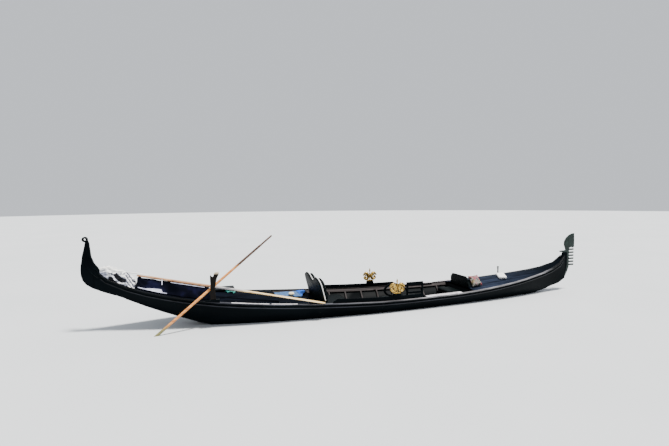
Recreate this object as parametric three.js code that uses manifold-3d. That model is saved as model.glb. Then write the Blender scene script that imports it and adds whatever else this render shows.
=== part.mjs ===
// Gondola: a flat-bottomed, lopsided black rowing boat, afloat, with its long oar on the rowlock.
// Frame: +X to the bow, +Y to port, +Z up, origin amidships on the waterline. Millimetres.
import * as THREE from 'three';
import { mergeVertices } from 'three/addons/utils/BufferGeometryUtils.js';
import Module from 'manifold-3d';

const wasm = await Module();
wasm.setup();

// Driving dimensions
const PLANK = 18;
const POST_HALF = 29.4;
const CAP = { thick: 22, over: 8, in: 52 };
const MOULDING = { below: 68, high: 20, proud: 12 };
const GAP = 0.4;
const FIT = 0.6;
const FRAME_DEPTH = 32;
const FRAME_WIDE = 30;
const FRAME_PITCH = 380;
const FLOOR_Z = -140;
const FLOOR_OVER_CHINE = 45;
const FLOOR_THICK = 15;
const DECK_THICK = 18;
const DECK_CAMBER = 0.06;
const BELT = 0.52;
const BULGE = 0.035;
const STERN_DECK = { aft: -5015, fore: -2090 };
const FOREDECK = { aft: 2180, fore: 4990 };
const LOW_DECK = { aft: -2088, fore: -1290, z: 290, thick: 20 };

// Hull stations. Columns: x, sheer z, starboard half-breadth, port half-breadth,
// chine z, starboard chine half-breadth, port chine half-breadth
const STATIONS = [
  [-5220, 1110, 50, 50, 775, 50, 50],
  [-5050, 945, 76, 86, 698, 53, 53],
  [-4700, 787, 172, 205, 555, 60, 62],
  [-4400, 693, 248, 315, 415, 84, 90],
  [-3800, 562, 380, 510, 182, 160, 185],
  [-3200, 467, 480, 650, -12, 230, 275],
  [-2600, 404, 552, 755, -135, 278, 350],
  [-2000, 355, 597, 825, -203, 305, 400],
  [-1000, 297, 632, 865, -240, 325, 430],
  [0, 260, 637, 865, -245, 330, 435],
  [1000, 258, 592, 825, -222, 310, 405],
  [1800, 268, 541, 770, -185, 278, 360],
  [2600, 309, 480, 690, -118, 232, 300],
  [3400, 384, 390, 550, -42, 168, 215],
  [4000, 464, 290, 405, 28, 112, 138],
  [4600, 577, 172, 235, 122, 54, 54],
  [4900, 690, 112, 130, 190, 48, 48],
  [5100, 888, 48, 48, 300, 48, 48],
];
const COLUMNS = ['x', 'sheer', 'starboard', 'port', 'chine', 'chineStarboard', 'chinePort'];

const paint = (color, roughness = 0.3, metalness = 0) => ({ color, roughness, metalness });
const LOOK = {
  black: paint(0x0b0d10, 0.18),
  deck: paint(0x12131c, 0.22),
  steel: paint(0x59605c, 0.35, 0.9),
  brass: paint(0xc9a24a, 0.3, 1),
  oar: paint(0xb4713a, 0.4),
  walnut: paint(0x2c2019, 0.4),
  floor: paint(0x3a2c24, 0.6),
  leather: paint(0x14151b, 0.45),
  canvas: paint(0xe8e6e0, 0.8),
  navy: paint(0x1c1b33, 0.6),
  blue: paint(0x2f5fb0, 0.85),
  pale: paint(0xd9d6cf, 0.5),
  floral: paint(0xcfc4b4, 0.85),
};

const group = new THREE.Group();

function add(name, geometry, look) {
  const mesh = new THREE.Mesh(geometry, new THREE.MeshStandardMaterial(look));
  mesh.name = name;
  group.add(mesh);
  return mesh;
}

// Hull lines: a cubic through the stations, sampled every 300 mm or so to straight-sided stations
function hermite(rows, x, k) {
  let i = rows.findIndex((r) => r[0] > x) - 1;
  if (i < 0) i = x <= rows[0][0] ? 0 : rows.length - 2;
  const slope = (a, b) => (rows[b][k] - rows[a][k]) / (rows[b][0] - rows[a][0]);
  const own = slope(i, i + 1);
  const start = i > 0 ? 0.5 * (slope(i - 1, i) + own) : own;
  const end = i + 2 < rows.length ? 0.5 * (own + slope(i + 1, i + 2)) : own;
  const h = rows[i + 1][0] - rows[i][0];
  const t = (x - rows[i][0]) / h;
  const a = rows[i][k];
  const b = rows[i + 1][k];
  return a * (1 + 2 * t) * (1 - t) ** 2 + start * h * t * (1 - t) ** 2
    + b * t * t * (3 - 2 * t) - end * h * t * t * (1 - t);
}

const SAMPLE_STEP = 300;
const places = STATIONS.slice(0, -1).flatMap(([x], i) => {
  const span = STATIONS[i + 1][0] - x;
  const steps = Math.max(1, Math.round(span / SAMPLE_STEP));
  return Array.from({ length: steps }, (_, s) => x + (span * s) / steps);
});
places.push(STATIONS[STATIONS.length - 1][0]);
const SAMPLES = places.map((x) => COLUMNS.map((c, k) => (k === 0 ? x : hermite(STATIONS, x, k))));

function line(x) {
  let i = SAMPLES.findIndex((r) => r[0] > x) - 1;
  if (i < 0) i = x <= SAMPLES[0][0] ? 0 : SAMPLES.length - 2;
  const t = (x - SAMPLES[i][0]) / (SAMPLES[i + 1][0] - SAMPLES[i][0]);
  const at = {};
  COLUMNS.forEach((c, k) => {
    at[c] = SAMPLES[i][k] + t * (SAMPLES[i + 1][k] - SAMPLES[i][k]);
  });
  return at;
}

function stationsBetween(x0, x1) {
  return [x0, ...SAMPLES.map((r) => r[0]).filter((x) => x > x0 + 5 && x < x1 - 5), x1];
}

// Side of the hull: f runs from 0 at the chine to 1 under the cap
const STARBOARD = -1;
const PORT = 1;

function sidePoint(x, side, f) {
  const at = line(x);
  const top = side === STARBOARD ? at.starboard : at.port;
  const low = side === STARBOARD ? at.chineStarboard : at.chinePort;
  const z1 = at.sheer - CAP.thick;
  const bow = BULGE * (top - low) * 4 * f * (1 - f) * 2;
  return { half: low + (top - low) * f + bow, z: at.chine + (z1 - at.chine) * f };
}

function inset(x, side, f, depth) {
  const a = sidePoint(x, side, Math.max(0, f - 0.01));
  const b = sidePoint(x, side, Math.min(1, f + 0.01));
  const p = sidePoint(x, side, f);
  const length = Math.hypot(b.half - a.half, b.z - a.z);
  const level = (depth * length) / (b.z - a.z);
  return new THREE.Vector3(x, side * (p.half - level), p.z);
}

// Closed solid through rings of equal count; quads split on their shorter diagonal
function loft(rings) {
  const n = rings[0].length;
  const points = rings.flat();
  const index = [];
  for (let r = 0; r + 1 < rings.length; r += 1) {
    for (let i = 0; i < n; i += 1) {
      const a = r * n + i;
      const b = r * n + ((i + 1) % n);
      const c = a + n;
      const d = b + n;
      if (points[a].distanceTo(points[d]) <= points[b].distanceTo(points[c])) {
        index.push(a, b, d, a, d, c);
      } else {
        index.push(a, b, c, b, d, c);
      }
    }
  }
  const cap = capTriangles(rings[0]);
  cap.forEach(([a, b, c]) => index.push(c, b, a));
  const last = (rings.length - 1) * n;
  cap.forEach(([a, b, c]) => index.push(a + last, b + last, c + last));
  return closed(points, index);
}

function capTriangles(ring) {
  const normal = new THREE.Vector3();
  ring.forEach((p, i) => {
    normal.add(new THREE.Vector3().crossVectors(p, ring[(i + 1) % ring.length]));
  });
  const size = [Math.abs(normal.x), Math.abs(normal.y), Math.abs(normal.z)];
  const drop = size.indexOf(Math.max(...size));
  const axes = [['y', 'z'], ['z', 'x'], ['x', 'y']][drop];
  const flat = ring.map((p) => new THREE.Vector2(p[axes[0]], p[axes[1]]));
  const forward = THREE.ShapeUtils.area(flat) > 0;
  const contour = forward ? flat : flat.slice().reverse();
  const back = (i) => (forward ? i : ring.length - 1 - i);
  const faces = THREE.ShapeUtils.triangulateShape(contour, []);
  return faces.map((f) => (forward ? f.map(back) : [back(f[2]), back(f[1]), back(f[0])]));
}

function closed(points, index) {
  let volume = 0;
  for (let i = 0; i < index.length; i += 3) {
    const [a, b, c] = [points[index[i]], points[index[i + 1]], points[index[i + 2]]];
    volume += a.dot(new THREE.Vector3().crossVectors(b, c));
  }
  const order = volume > 0 ? index : index.slice().reverse();
  const geometry = new THREE.BufferGeometry();
  const flat = points.flatMap((p) => [p.x, p.y, p.z]);
  geometry.setAttribute('position', new THREE.Float32BufferAttribute(flat, 3));
  geometry.setIndex(order);
  return geometry;
}

// Joins and cuts
function solid(geometry) {
  const bare = geometry.clone();
  bare.deleteAttribute('normal');
  bare.deleteAttribute('uv');
  const merged = mergeVertices(bare, 1e-3);
  return new wasm.Manifold(new wasm.Mesh({
    numProp: 3,
    vertProperties: new Float32Array(merged.attributes.position.array),
    triVerts: new Uint32Array(merged.index.array),
  }));
}

function geometryOf(shape) {
  const mesh = shape.getMesh();
  const geometry = new THREE.BufferGeometry();
  geometry.setAttribute('position', new THREE.BufferAttribute(mesh.vertProperties, 3));
  geometry.setIndex(new THREE.BufferAttribute(mesh.triVerts, 1));
  return geometry;
}

const union = (shapes) => shapes.reduce((a, b) => a.add(b));
const largest = (shape) => shape.decompose().reduce((a, b) => (a.volume() > b.volume() ? a : b));

function box(x0, x1, y0, y1, z0, z1) {
  const geometry = new THREE.BoxGeometry(x1 - x0, y1 - y0, z1 - z0);
  return geometry.translate((x0 + x1) / 2, (y0 + y1) / 2, (z0 + z1) / 2);
}

// Flat plate: outline in x and z, thickness along y about its middle
function plate(outline, thick, y, holes = []) {
  const shape = new THREE.Shape(outline.map(([x, z]) => new THREE.Vector2(x, z)));
  holes.forEach((hole) => shape.holes.push(hole));
  const geometry = new THREE.ExtrudeGeometry(shape, { depth: thick, bevelEnabled: false, curveSegments: 8 });
  return geometry.rotateX(Math.PI / 2).translate(0, y + thick / 2, 0);
}

// Board across the boat: outline in y and z, thickness along x from x0
function crossBoard(outline, x0, thick, holes = []) {
  const shape = new THREE.Shape(outline.map(([y, z]) => new THREE.Vector2(y, z)));
  holes.forEach((hole) => shape.holes.push(hole));
  const geometry = new THREE.ExtrudeGeometry(shape, { depth: thick, bevelEnabled: false, curveSegments: 8 });
  const turn = new THREE.Matrix4().set(0, 0, 1, x0, 1, 0, 0, 0, 0, 1, 0, 0, 0, 0, 0, 1);
  return geometry.applyMatrix4(turn);
}

// Side planking in four lengths, butted at frames; columns: name, start, end
const RISE = [0, BELT, 1];
const SIDE_LENGTHS = [
  ['side_stern', -5220, -2000], ['side_aft', -2000, 0], ['side_fore', 0, 2600], ['side_bow', 2600, 5100],
];
function skin(side, xs, outer, inner) {
  return loft(xs.map((x) => [
    ...RISE.map((f) => inset(x, side, f, outer)),
    ...RISE.slice().reverse().map((f) => inset(x, side, f, inner)),
  ]));
}

[['starboard', STARBOARD], ['port', PORT]].forEach(([word, side]) => {
  SIDE_LENGTHS.forEach(([name, aft, fore]) => {
    const run = stationsBetween(aft + GAP / 2, fore - GAP / 2);
    add(`${name}_${word}`, skin(side, run, 0, PLANK), LOOK.black);
  });
});

function quad(x, y0, y1, z0, z1) {
  return [[y0, z0], [y1, z0], [y1, z1], [y0, z1]].map(([y, z]) => new THREE.Vector3(x, y, z));
}

const BOTTOM = { aft: -4740, fore: 4540 };
add('bottom_planking', loft(stationsBetween(BOTTOM.aft, BOTTOM.fore).map((x) => {
  const at = line(x);
  return quad(x, -at.chineStarboard, at.chinePort, at.chine - PLANK, at.chine - GAP);
})), LOOK.black);

// Inside of the hull, drawn in by a depth from the outer face
function hold(depth) {
  return solid(loft(places.map((x) => [
    ...RISE.map((f) => inset(x, STARBOARD, f, depth)),
    ...RISE.slice().reverse().map((f) => inset(x, PORT, f, depth)),
  ])));
}
const HOLD = hold(PLANK + FIT);
const ROOM = hold(PLANK + FRAME_DEPTH + 2 * FIT);
const inRoom = (geometry) => geometryOf(solid(geometry).intersect(ROOM));
const floorZ = (x) => Math.max(FLOOR_Z, line(x).chine + FLOOR_OVER_CHINE);
const deckTop = (x) => line(x).sheer - 2;
const capInner = (half) => Math.max(half - CAP.in, POST_HALF + FIT);

// Posts at the two ends, with the scroll of the stern
const SCROLL = { x: -5352, z: 1624, r: 45, hole: 19 };
const STERN_OUTER = [
  [-4742, 556], [-4900, 626], [-5080, 696], [-5255, 779], [-5350, 847], [-5400, 918], [-5423, 1000],
  [-5428, 1100], [-5420, 1200], [-5399, 1345], [-5366, 1480], [-5345, 1590],
];
const STERN_INNER = [
  [-5312, 1620], [-5290, 1560], [-5277, 1440], [-5264, 1318], [-5223, 1206], [-5172, 1134], [-5110, 1040],
  [-5040, 950], [-5022, 880], [-4900, 745], [-4742, 645],
];
const scroll = new THREE.CylinderGeometry(SCROLL.r, SCROLL.r, 2 * POST_HALF, 24);
const scrollHole = new THREE.CylinderGeometry(SCROLL.hole, SCROLL.hole, 3 * POST_HALF, 16);
const horn = solid(plate([...STERN_OUTER, ...STERN_INNER], 2 * POST_HALF, 0))
  .add(solid(scroll.translate(SCROLL.x, 0, SCROLL.z)))
  .subtract(solid(scrollHole.translate(SCROLL.x, 0, SCROLL.z)));
add('stern_post', geometryOf(horn), LOOK.black);

// Steel band up the after edge of the stern post
const BAND = { thick: 7, wide: 34, run: STERN_OUTER.slice(1, 9) };
function bandEdge(out) {
  return BAND.run.map(([x, z], i) => {
    const [ax, az] = BAND.run[Math.max(0, i - 1)];
    const [bx, bz] = BAND.run[Math.min(BAND.run.length - 1, i + 1)];
    const length = Math.hypot(bx - ax, bz - az);
    return [x - (out * (bz - az)) / length, z + (out * (bx - ax)) / length];
  });
}
add('stern_band', plate([...bandEdge(BAND.thick), ...bandEdge(GAP).reverse()], BAND.wide, 0), LOOK.steel);

const STEM_OUTER = [
  [4542, 84], [4800, 163], [4990, 243], [5100, 343], [5160, 480], [5190, 620], [5195, 800], [5190, 930],
];
const STEM_INNER = [[5080, 930], [5052, 850], [5000, 716], [4930, 500], [4800, 360], [4542, 250]];
add('bow_stem', plate([...STEM_OUTER, ...STEM_INNER], 2 * POST_HALF, 0), LOOK.black);

// Bow iron: blade, six teeth ahead, one tooth astern, and the strap down the stem
const TEETH = { count: 6, top: 1015, pitch: 75.5, high: 38, root: 5268, tip: 5412 };
const IRON_BLADE = [
  [5150, 931], [4980, 944], [4980, 972], [5130, 980], [5164, 992], [5145, 1040], [5118, 1100], [5113, 1159],
  [5130, 1222], [5180, 1290], [5255, 1348], [5340, 1384], [5420, 1398], [5428, 1220], [5425, 1058],
  [5385, 1036], [5335, 1052], [5290, 1042],
];
const teeth = [];
for (let k = 0; k < TEETH.count; k += 1) {
  const z = TEETH.top - k * TEETH.pitch;
  teeth.push([TEETH.root, z], [TEETH.tip, z], [TEETH.tip, z - TEETH.high], [TEETH.root, z - TEETH.high]);
}
const IRON_STRAP = [
  [5262, 560], [5226, 474], [5148, 330], [5025, 226], [4817, 150], [4816, 169], [4991, 242.6],
  [5101.2, 342.4], [5161.2, 479.6], [5191.2, 619.8], [5196.2, 800], [5191.2, 931],
];
add('bow_iron', plate([...IRON_BLADE, ...teeth, ...IRON_STRAP], 24, 0), LOOK.steel);

// Gunwale caps and the moulding below them
const CAP_RUN = stationsBetween(-5160, 5070);
const MOULDING_RUN = stationsBetween(-5120, 5010);

function gunwaleCap(side) {
  return loft(CAP_RUN.map((x) => {
    const at = line(x);
    const half = side === STARBOARD ? at.starboard : at.port;
    return quad(x, side * (half + CAP.over), side * capInner(half), at.sheer - CAP.thick + GAP, at.sheer);
  }));
}

function moulding(side) {
  const rail = loft(MOULDING_RUN.map((x) => {
    const at = line(x);
    const rise = at.sheer - CAP.thick - at.chine;
    const f1 = 1 - (MOULDING.below - CAP.thick) / rise;
    const f0 = f1 - MOULDING.high / rise;
    return [inset(x, side, f1, 8), inset(x, side, f0, 8),
      inset(x, side, f0, -MOULDING.proud), inset(x, side, f1, -MOULDING.proud)];
  }));
  return geometryOf(largest(solid(rail).subtract(solid(skin(side, places, -2 * GAP, PLANK)))));
}

[['starboard', STARBOARD], ['port', PORT]].forEach(([word, side]) => {
  add(`gunwale_cap_${word}`, gunwaleCap(side), LOOK.black);
  add(`moulding_${word}`, moulding(side), LOOK.black);
});

// Cambered decks between the caps
function deckEdge(x, side) {
  const at = line(x);
  return side * (capInner(side === STARBOARD ? at.starboard : at.port) - GAP);
}

function deckCrown(x, y) {
  const a = deckEdge(x, STARBOARD);
  const b = deckEdge(x, PORT);
  const u = (2 * y - a - b) / (b - a);
  return deckTop(x) + DECK_CAMBER * (b - a) * (1 - u * u);
}

const ACROSS = [0, 0.2, 0.4, 0.6, 0.8, 1];
function acrossDeck(x, lift, trim = 0) {
  const a = deckEdge(x, STARBOARD) + trim;
  const b = deckEdge(x, PORT) - trim;
  return ACROSS.map((t) => {
    const y = a + t * (b - a);
    return new THREE.Vector3(x, y, deckCrown(x, y) + lift);
  });
}

function deck(run) {
  return loft(stationsBetween(run.aft, run.fore)
    .map((x) => [...acrossDeck(x, 0), ...acrossDeck(x, -DECK_THICK).reverse()]));
}
add('stern_deck', deck(STERN_DECK), LOOK.deck);
add('foredeck', deck(FOREDECK), LOOK.deck);

// Bulkheads under the inner ends of the decks
function bulkhead(x0, thick) {
  const slab = loft([x0, x0 + thick].map((x) => {
    const at = line(x);
    const low = at.chine + GAP;
    const under = at.sheer - CAP.thick - FIT;
    const crown = acrossDeck(x, -DECK_THICK - 1);
    return [
      new THREE.Vector3(x, -at.starboard, low), new THREE.Vector3(x, -at.starboard, under),
      new THREE.Vector3(x, crown[0].y, under), ...crown.slice(1, -1),
      new THREE.Vector3(x, crown[crown.length - 1].y, under), new THREE.Vector3(x, at.port, under),
      new THREE.Vector3(x, at.port, low),
    ];
  }));
  return geometryOf(solid(slab).intersect(HOLD));
}
add('bulkhead_aft', bulkhead(-2112, 18), LOOK.black);
add('bulkhead_fore', bulkhead(2194, 18), LOOK.black);

// Frames up each side of the cockpit, tied by the inwale
const COCKPIT = { aft: -2085, fore: 2190 };
const INWALE = { high: 48, drop: CAP.thick + FIT };
const RING = HOLD.subtract(hold(PLANK + FIT + FRAME_DEPTH));

function frames(side) {
  const wide = side * 1200;
  const inwale = solid(loft(stationsBetween(COCKPIT.aft, COCKPIT.fore).map((x) => {
    const top = line(x).sheer - INWALE.drop;
    return quad(x, 0, wide, top - INWALE.high, top);
  }))).intersect(RING);
  const ribs = [];
  for (let x = COCKPIT.aft + 190; x < COCKPIT.fore - FRAME_WIDE; x += FRAME_PITCH) {
    ribs.push(solid(loft([x, x + FRAME_WIDE].map((at) => quad(
      at, 0, wide, floorZ(at) + GAP, line(at).sheer - INWALE.drop - 10,
    )))).intersect(RING));
  }
  return geometryOf(union([inwale, ...ribs]));
}
add('frames_starboard', frames(STARBOARD), LOOK.black);
add('frames_port', frames(PORT), LOOK.black);

const floorSlab = solid(loft(stationsBetween(COCKPIT.aft, COCKPIT.fore)
  .map((x) => quad(x, -1200, 1200, floorZ(x) - FLOOR_THICK, floorZ(x)))));
add('floorboards', geometryOf(floorSlab.intersect(HOLD)), LOOK.floor);

// Low deck astern of the seat, its front board and the blue cloth laid on it
const wideSlab = (x, z0, z1) => quad(x, -1200, 1200, z0, z1);
const LOW_FRONT = { aft: LOW_DECK.fore - 22, fore: LOW_DECK.fore - 2 };
const lowUnder = LOW_DECK.z - LOW_DECK.thick;
add('low_deck', inRoom(loft([LOW_DECK.aft, LOW_DECK.fore]
  .map((x) => wideSlab(x, lowUnder, LOW_DECK.z)))), LOOK.deck);
add('low_deck_front', inRoom(loft([LOW_FRONT.aft, LOW_FRONT.fore]
  .map((x) => wideSlab(x, FLOOR_Z + GAP, lowUnder - GAP)))), LOOK.black);
const CLOTH_OUTLINE = [[-2055, 420], [-1500, 180], [-1320, 700], [-1340, 745], [-1950, 738], [-2055, 700]];
const CLOTH_THICK = 22;
function mat(outline, z0, z1) {
  const shape = new THREE.Shape(outline.map(([x, y]) => new THREE.Vector2(x, y)));
  return new THREE.ExtrudeGeometry(shape, { depth: z1 - z0, bevelEnabled: false }).translate(0, 0, z0);
}
add('blue_cloth', mat(CLOTH_OUTLINE, LOW_DECK.z + GAP, LOW_DECK.z + CLOTH_THICK), LOOK.blue);
const SPONGE = { x: -1690, y: 325, r: 62, high: 58 };
const sponge = new THREE.LatheGeometry([
  [0, 0], [0.72, 0], [1, 0.35], [1, 0.65], [0.72, 1], [0, 1],
].map(([r, z]) => new THREE.Vector2(r * SPONGE.r, z * SPONGE.high)), 14);
sponge.rotateX(Math.PI / 2).translate(SPONGE.x, SPONGE.y, LOW_DECK.z + CLOTH_THICK + GAP);
add('sponge', sponge, LOOK.pale);

// Main seat: box, cushion, leaning back board with two lobes, and its padded front
const SEAT = { x0: -1225, x1: -600, y0: -470, y1: 560, top: 105, cushion: 110, lean: 0.25 };
function stool(x0, x1, y0, y1, z0, z1, wall) {
  const outline = [[y0, z0], [y0 + wall, z0], [y0 + wall, z1 - wall], [y1 - wall, z1 - wall], [y1 - wall, z0],
    [y1, z0], [y1, z1], [y0, z1]];
  return crossBoard(outline, x0, x1 - x0);
}
const onFloor = FLOOR_Z + GAP;
add('main_seat_base', inRoom(stool(SEAT.x0, SEAT.x1, SEAT.y0, SEAT.y1, onFloor, SEAT.top, 22)), LOOK.black);

function cushion(x0, x1, y0, y1, z0, z1, bevel = 14) {
  const shape = new THREE.Shape([
    new THREE.Vector2(x0 + bevel, y0 + bevel), new THREE.Vector2(x1 - bevel, y0 + bevel),
    new THREE.Vector2(x1 - bevel, y1 - bevel), new THREE.Vector2(x0 + bevel, y1 - bevel),
  ]);
  const geometry = new THREE.ExtrudeGeometry(shape, {
    depth: z1 - z0 - 2 * bevel, bevelThickness: bevel, bevelSize: bevel, bevelSegments: 2,
  });
  return geometry.translate(0, 0, z0 + bevel);
}
add('main_seat_cushion', cushion(SEAT.x0 + 95, SEAT.x1 + 15, SEAT.y0 + 20, SEAT.y1 - 20,
  SEAT.top + GAP, SEAT.top + SEAT.cushion), LOOK.leather);

// Back: two lobes over the width of the boat, stepped in where it drops below the starboard cap.
// Lobe columns: place across from the middle to the side, height as a share of the whole
const BACK = { high: 677, thick: 35, pad: 84, half: 590, middle: -5, step: 252, narrow: 470 };
const LOBE = [
  [0.04, 0.82], [0.15, 0.87], [0.3, 0.955], [0.5, 1], [0.72, 0.985], [0.87, 0.94], [0.96, 0.88], [1, 0.79],
];
function backOutline(trim, low) {
  const half = BACK.half - trim;
  const top = BACK.high - trim;
  const port = LOBE.map(([u, h]) => [u * half, h * top]);
  const starboard = port.slice().reverse().map(([u, h]) => [-u, h]);
  return [[half, low], ...port.slice().reverse(), ...starboard.slice().reverse(),
    [-half, BACK.step], [trim - BACK.narrow, BACK.step], [trim - BACK.narrow, low]];
}
const BACK_FOOT = { x: -1165, z: SEAT.top + 9.2 };
function leaning(geometry) {
  return geometry.rotateY(-SEAT.lean).translate(BACK_FOOT.x, BACK.middle, BACK_FOOT.z);
}
add('main_seat_back', leaning(crossBoard(backOutline(0, 0), -BACK.thick, BACK.thick)), LOOK.black);
add('main_seat_back_pad', leaning(crossBoard(backOutline(26, SEAT.cushion + 30), GAP, BACK.pad)),
  LOOK.leather);

// Low side boards on the caps beside the seats, each with a block under its crest
const SIDE_BOARD = { aft: -1080, fore: 930, high: 82, thick: 20, inFromEdge: 24, slope: 90, endShare: 0.3 };
const CREST = { x: 268, block: 85, blockHalf: 16, blockHigh: 50, thick: 26, inFromEdge: 34 };
function sideBoard(side) {
  const half = (x) => (side === STARBOARD ? line(x).starboard : line(x).port);
  const { aft, fore, high, thick, inFromEdge, slope, endShare } = SIDE_BOARD;
  const run = [aft, ...stationsBetween(aft + slope, fore - slope), fore];
  const board = loft(run.map((x) => {
    const outer = half(x) - inFromEdge;
    const top = x === aft || x === fore ? high * endShare : high;
    return quad(x, side * outer, side * (outer - thick), line(x).sheer + GAP, line(x).sheer + top);
  }));
  const middle = half(CREST.x) - CREST.inFromEdge;
  const block = loft([CREST.x - CREST.block, CREST.x + CREST.block].map((x) => quad(
    x, side * (middle + CREST.blockHalf), side * (middle - CREST.blockHalf), line(x).sheer + high / 2,
    line(CREST.x).sheer + high + CREST.blockHigh,
  )));
  return geometryOf(solid(board).add(solid(block)));
}
add('side_board_starboard', sideBoard(STARBOARD), LOOK.black);
add('side_board_port', sideBoard(PORT), LOOK.black);

// Two chairs on the starboard side, backs outboard; columns: name, middle x, back style
const CHAIR = { half: 190, depth: 360, seat: 175, leg: 34, back: 400, y: -430, rail: 30 };
function chair(x, oval) {
  const { half, depth, seat, leg, y } = CHAIR;
  const parts = [solid(box(x - half, x + half, y, y + depth, seat - 30, seat))];
  [[-half, 0], [half - leg, 0], [-half, depth - leg], [half - leg, depth - leg]].forEach(([dx, dy]) => {
    const post = solid(box(x + dx, x + dx + leg, y + dy, y + dy + leg, onFloor, seat - 10));
    parts.push(post.intersect(ROOM));
  });
  if (oval) {
    const ring = new THREE.Shape().absellipse(x, seat + 250, half + 25, 140, 0, 2 * Math.PI);
    ring.holes.push(new THREE.Path().absellipse(x, seat + 250, half - 15, 100, 0, 2 * Math.PI));
    const hoop = new THREE.ExtrudeGeometry(ring, { depth: 26, bevelEnabled: false, curveSegments: 14 });
    parts.push(solid(hoop.rotateX(Math.PI / 2).translate(0, y + 28, 0)));
    parts.push(solid(box(x - 28, x + 28, y + 3, y + 27, seat - 10, seat + 130)));
  } else {
    [x - half, x + half - leg].forEach((px) => {
      parts.push(solid(box(px, px + leg, y, y + 28, seat - 10, seat + 385)));
    });
    parts.push(solid(box(x - half, x + half, y, y + 28, seat + 320, seat + 385)));
    parts.push(solid(box(x - half, x + half, y + 2, y + 26, seat + 150, seat + 190)));
  }
  return geometryOf(union(parts));
}
[['chair_aft', 270, true], ['chair_fore', 760, false]].forEach(([name, x, oval]) => {
  add(name, chair(x, oval), LOOK.black);
  add(`${name}_cushion`, cushion(x - CHAIR.half + 8, x + CHAIR.half - 8, CHAIR.y + 42,
    CHAIR.y + CHAIR.depth - 6, CHAIR.seat + GAP, CHAIR.seat + 60), LOOK.leather);
});

// Front bench and its cushion
const BENCH = { x0: 1790, x1: 2170, y0: -300, y1: 440, top: 130 };
add('front_bench', inRoom(stool(BENCH.x0, BENCH.x1, BENCH.y0, BENCH.y1,
  floorZ(BENCH.x1) + GAP, BENCH.top, 22)), LOOK.black);
add('front_bench_cushion', cushion(BENCH.x0 + 8, BENCH.x1 - 8, BENCH.y0 + 8, BENCH.y1 - 8,
  BENCH.top + GAP, BENCH.top + 80), LOOK.leather);

// Back board at the inner end of the foredeck. Its wing on the starboard side holds a leaning square cushion
const SQUARE = {
  x: 2212, y: -365, lift: 20, size: 300, thick: 70, bevel: 30, back: 0.925, slope: 0.05, turn: 0.12,
};
function onDeck(geometry) {
  return geometry.rotateX(SQUARE.back).rotateY(-SQUARE.slope).rotateZ(SQUARE.turn)
    .translate(SQUARE.x, SQUARE.y, deckCrown(SQUARE.x, SQUARE.y) + SQUARE.lift);
}
const halfThick = SQUARE.thick / 2;
add('patterned_cushion', onDeck(cushion(0, SQUARE.size, 0, SQUARE.size, -halfThick, halfThick, SQUARE.bevel)),
  LOOK.floral);
const PANEL = { x: 2175, z: 306, high: 235, thick: 24, y0: -250, y1: 400, corner: 70 };
const panelOutline = [
  [PANEL.y1, 0], [PANEL.y1, PANEL.high - PANEL.corner], [PANEL.y1 - PANEL.corner, PANEL.high],
  [PANEL.y0 + PANEL.corner, PANEL.high], [PANEL.y0, PANEL.high - PANEL.corner], [PANEL.y0, 0],
];
const panelBoard = crossBoard(panelOutline, PANEL.x - PANEL.thick, PANEL.thick).translate(0, 0, PANEL.z);
const WING = { aft: -44, fore: 250, low: 40, high: 215, thick: 22, off: 3 };
const wing = onDeck(box(WING.aft, WING.fore, WING.low, WING.high,
  -halfThick - WING.off - WING.thick, -halfThick - WING.off));
add('front_panel', geometryOf(solid(panelBoard).add(solid(wing))), LOOK.black);

// Boarding treads on the caps; columns: name, side, start, end, width
const TREAD = { thick: 12, out: 14 };
function tread(side, x0, x1, wide) {
  const a = line(x0);
  const b = line(x1);
  const pick = (at) => (side === STARBOARD ? at.starboard : at.port) + TREAD.out;
  const lift = 2.5;
  const ring = (x, at) => quad(x, side * pick(at), side * (pick(at) - wide),
    at.sheer + lift, at.sheer + lift + TREAD.thick);
  return loft([ring(x0, a), ring(x1, b)]);
}
const TREADS = [
  ['tread_starboard', STARBOARD, 960, 1830, 104], ['tread_port', PORT, 960, 1830, 104],
  ['tread_port_fore', PORT, 2030, 2310, 62],
];
TREADS.forEach(([name, side, x0, x1, wide]) => add(name, tread(side, x0, x1, wide), LOOK.pale));

// Brass crests on the side boards: two sea-horses back to back with a knob between.
// Half outline from the foot up, columns: x from the middle, z
const CREST_HALF = [
  [78, 0], [78, 16], [60, 26], [78, 44], [120, 52], [146, 78], [140, 104], [164, 122], [168, 150],
  [150, 176], [118, 182], [104, 206], [76, 222], [52, 214], [40, 196], [30, 214], [22, 246], [24, 270],
  [14, 292], [0, 300],
];
[['sea_horse_starboard', STARBOARD], ['sea_horse_port', PORT]].forEach(([name, side]) => {
  const at = line(CREST.x);
  const half = side === STARBOARD ? at.starboard : at.port;
  const foot = at.sheer + SIDE_BOARD.high + CREST.blockHigh + GAP;
  const fore = CREST_HALF.map(([x, z]) => [CREST.x + x, foot + z]);
  const aft = CREST_HALF.slice(0, -1).reverse().map(([x, z]) => [CREST.x - x, foot + z]);
  add(name, plate([...fore, ...aft], CREST.thick, side * (half - CREST.inFromEdge)), LOOK.brass);
});

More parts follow.
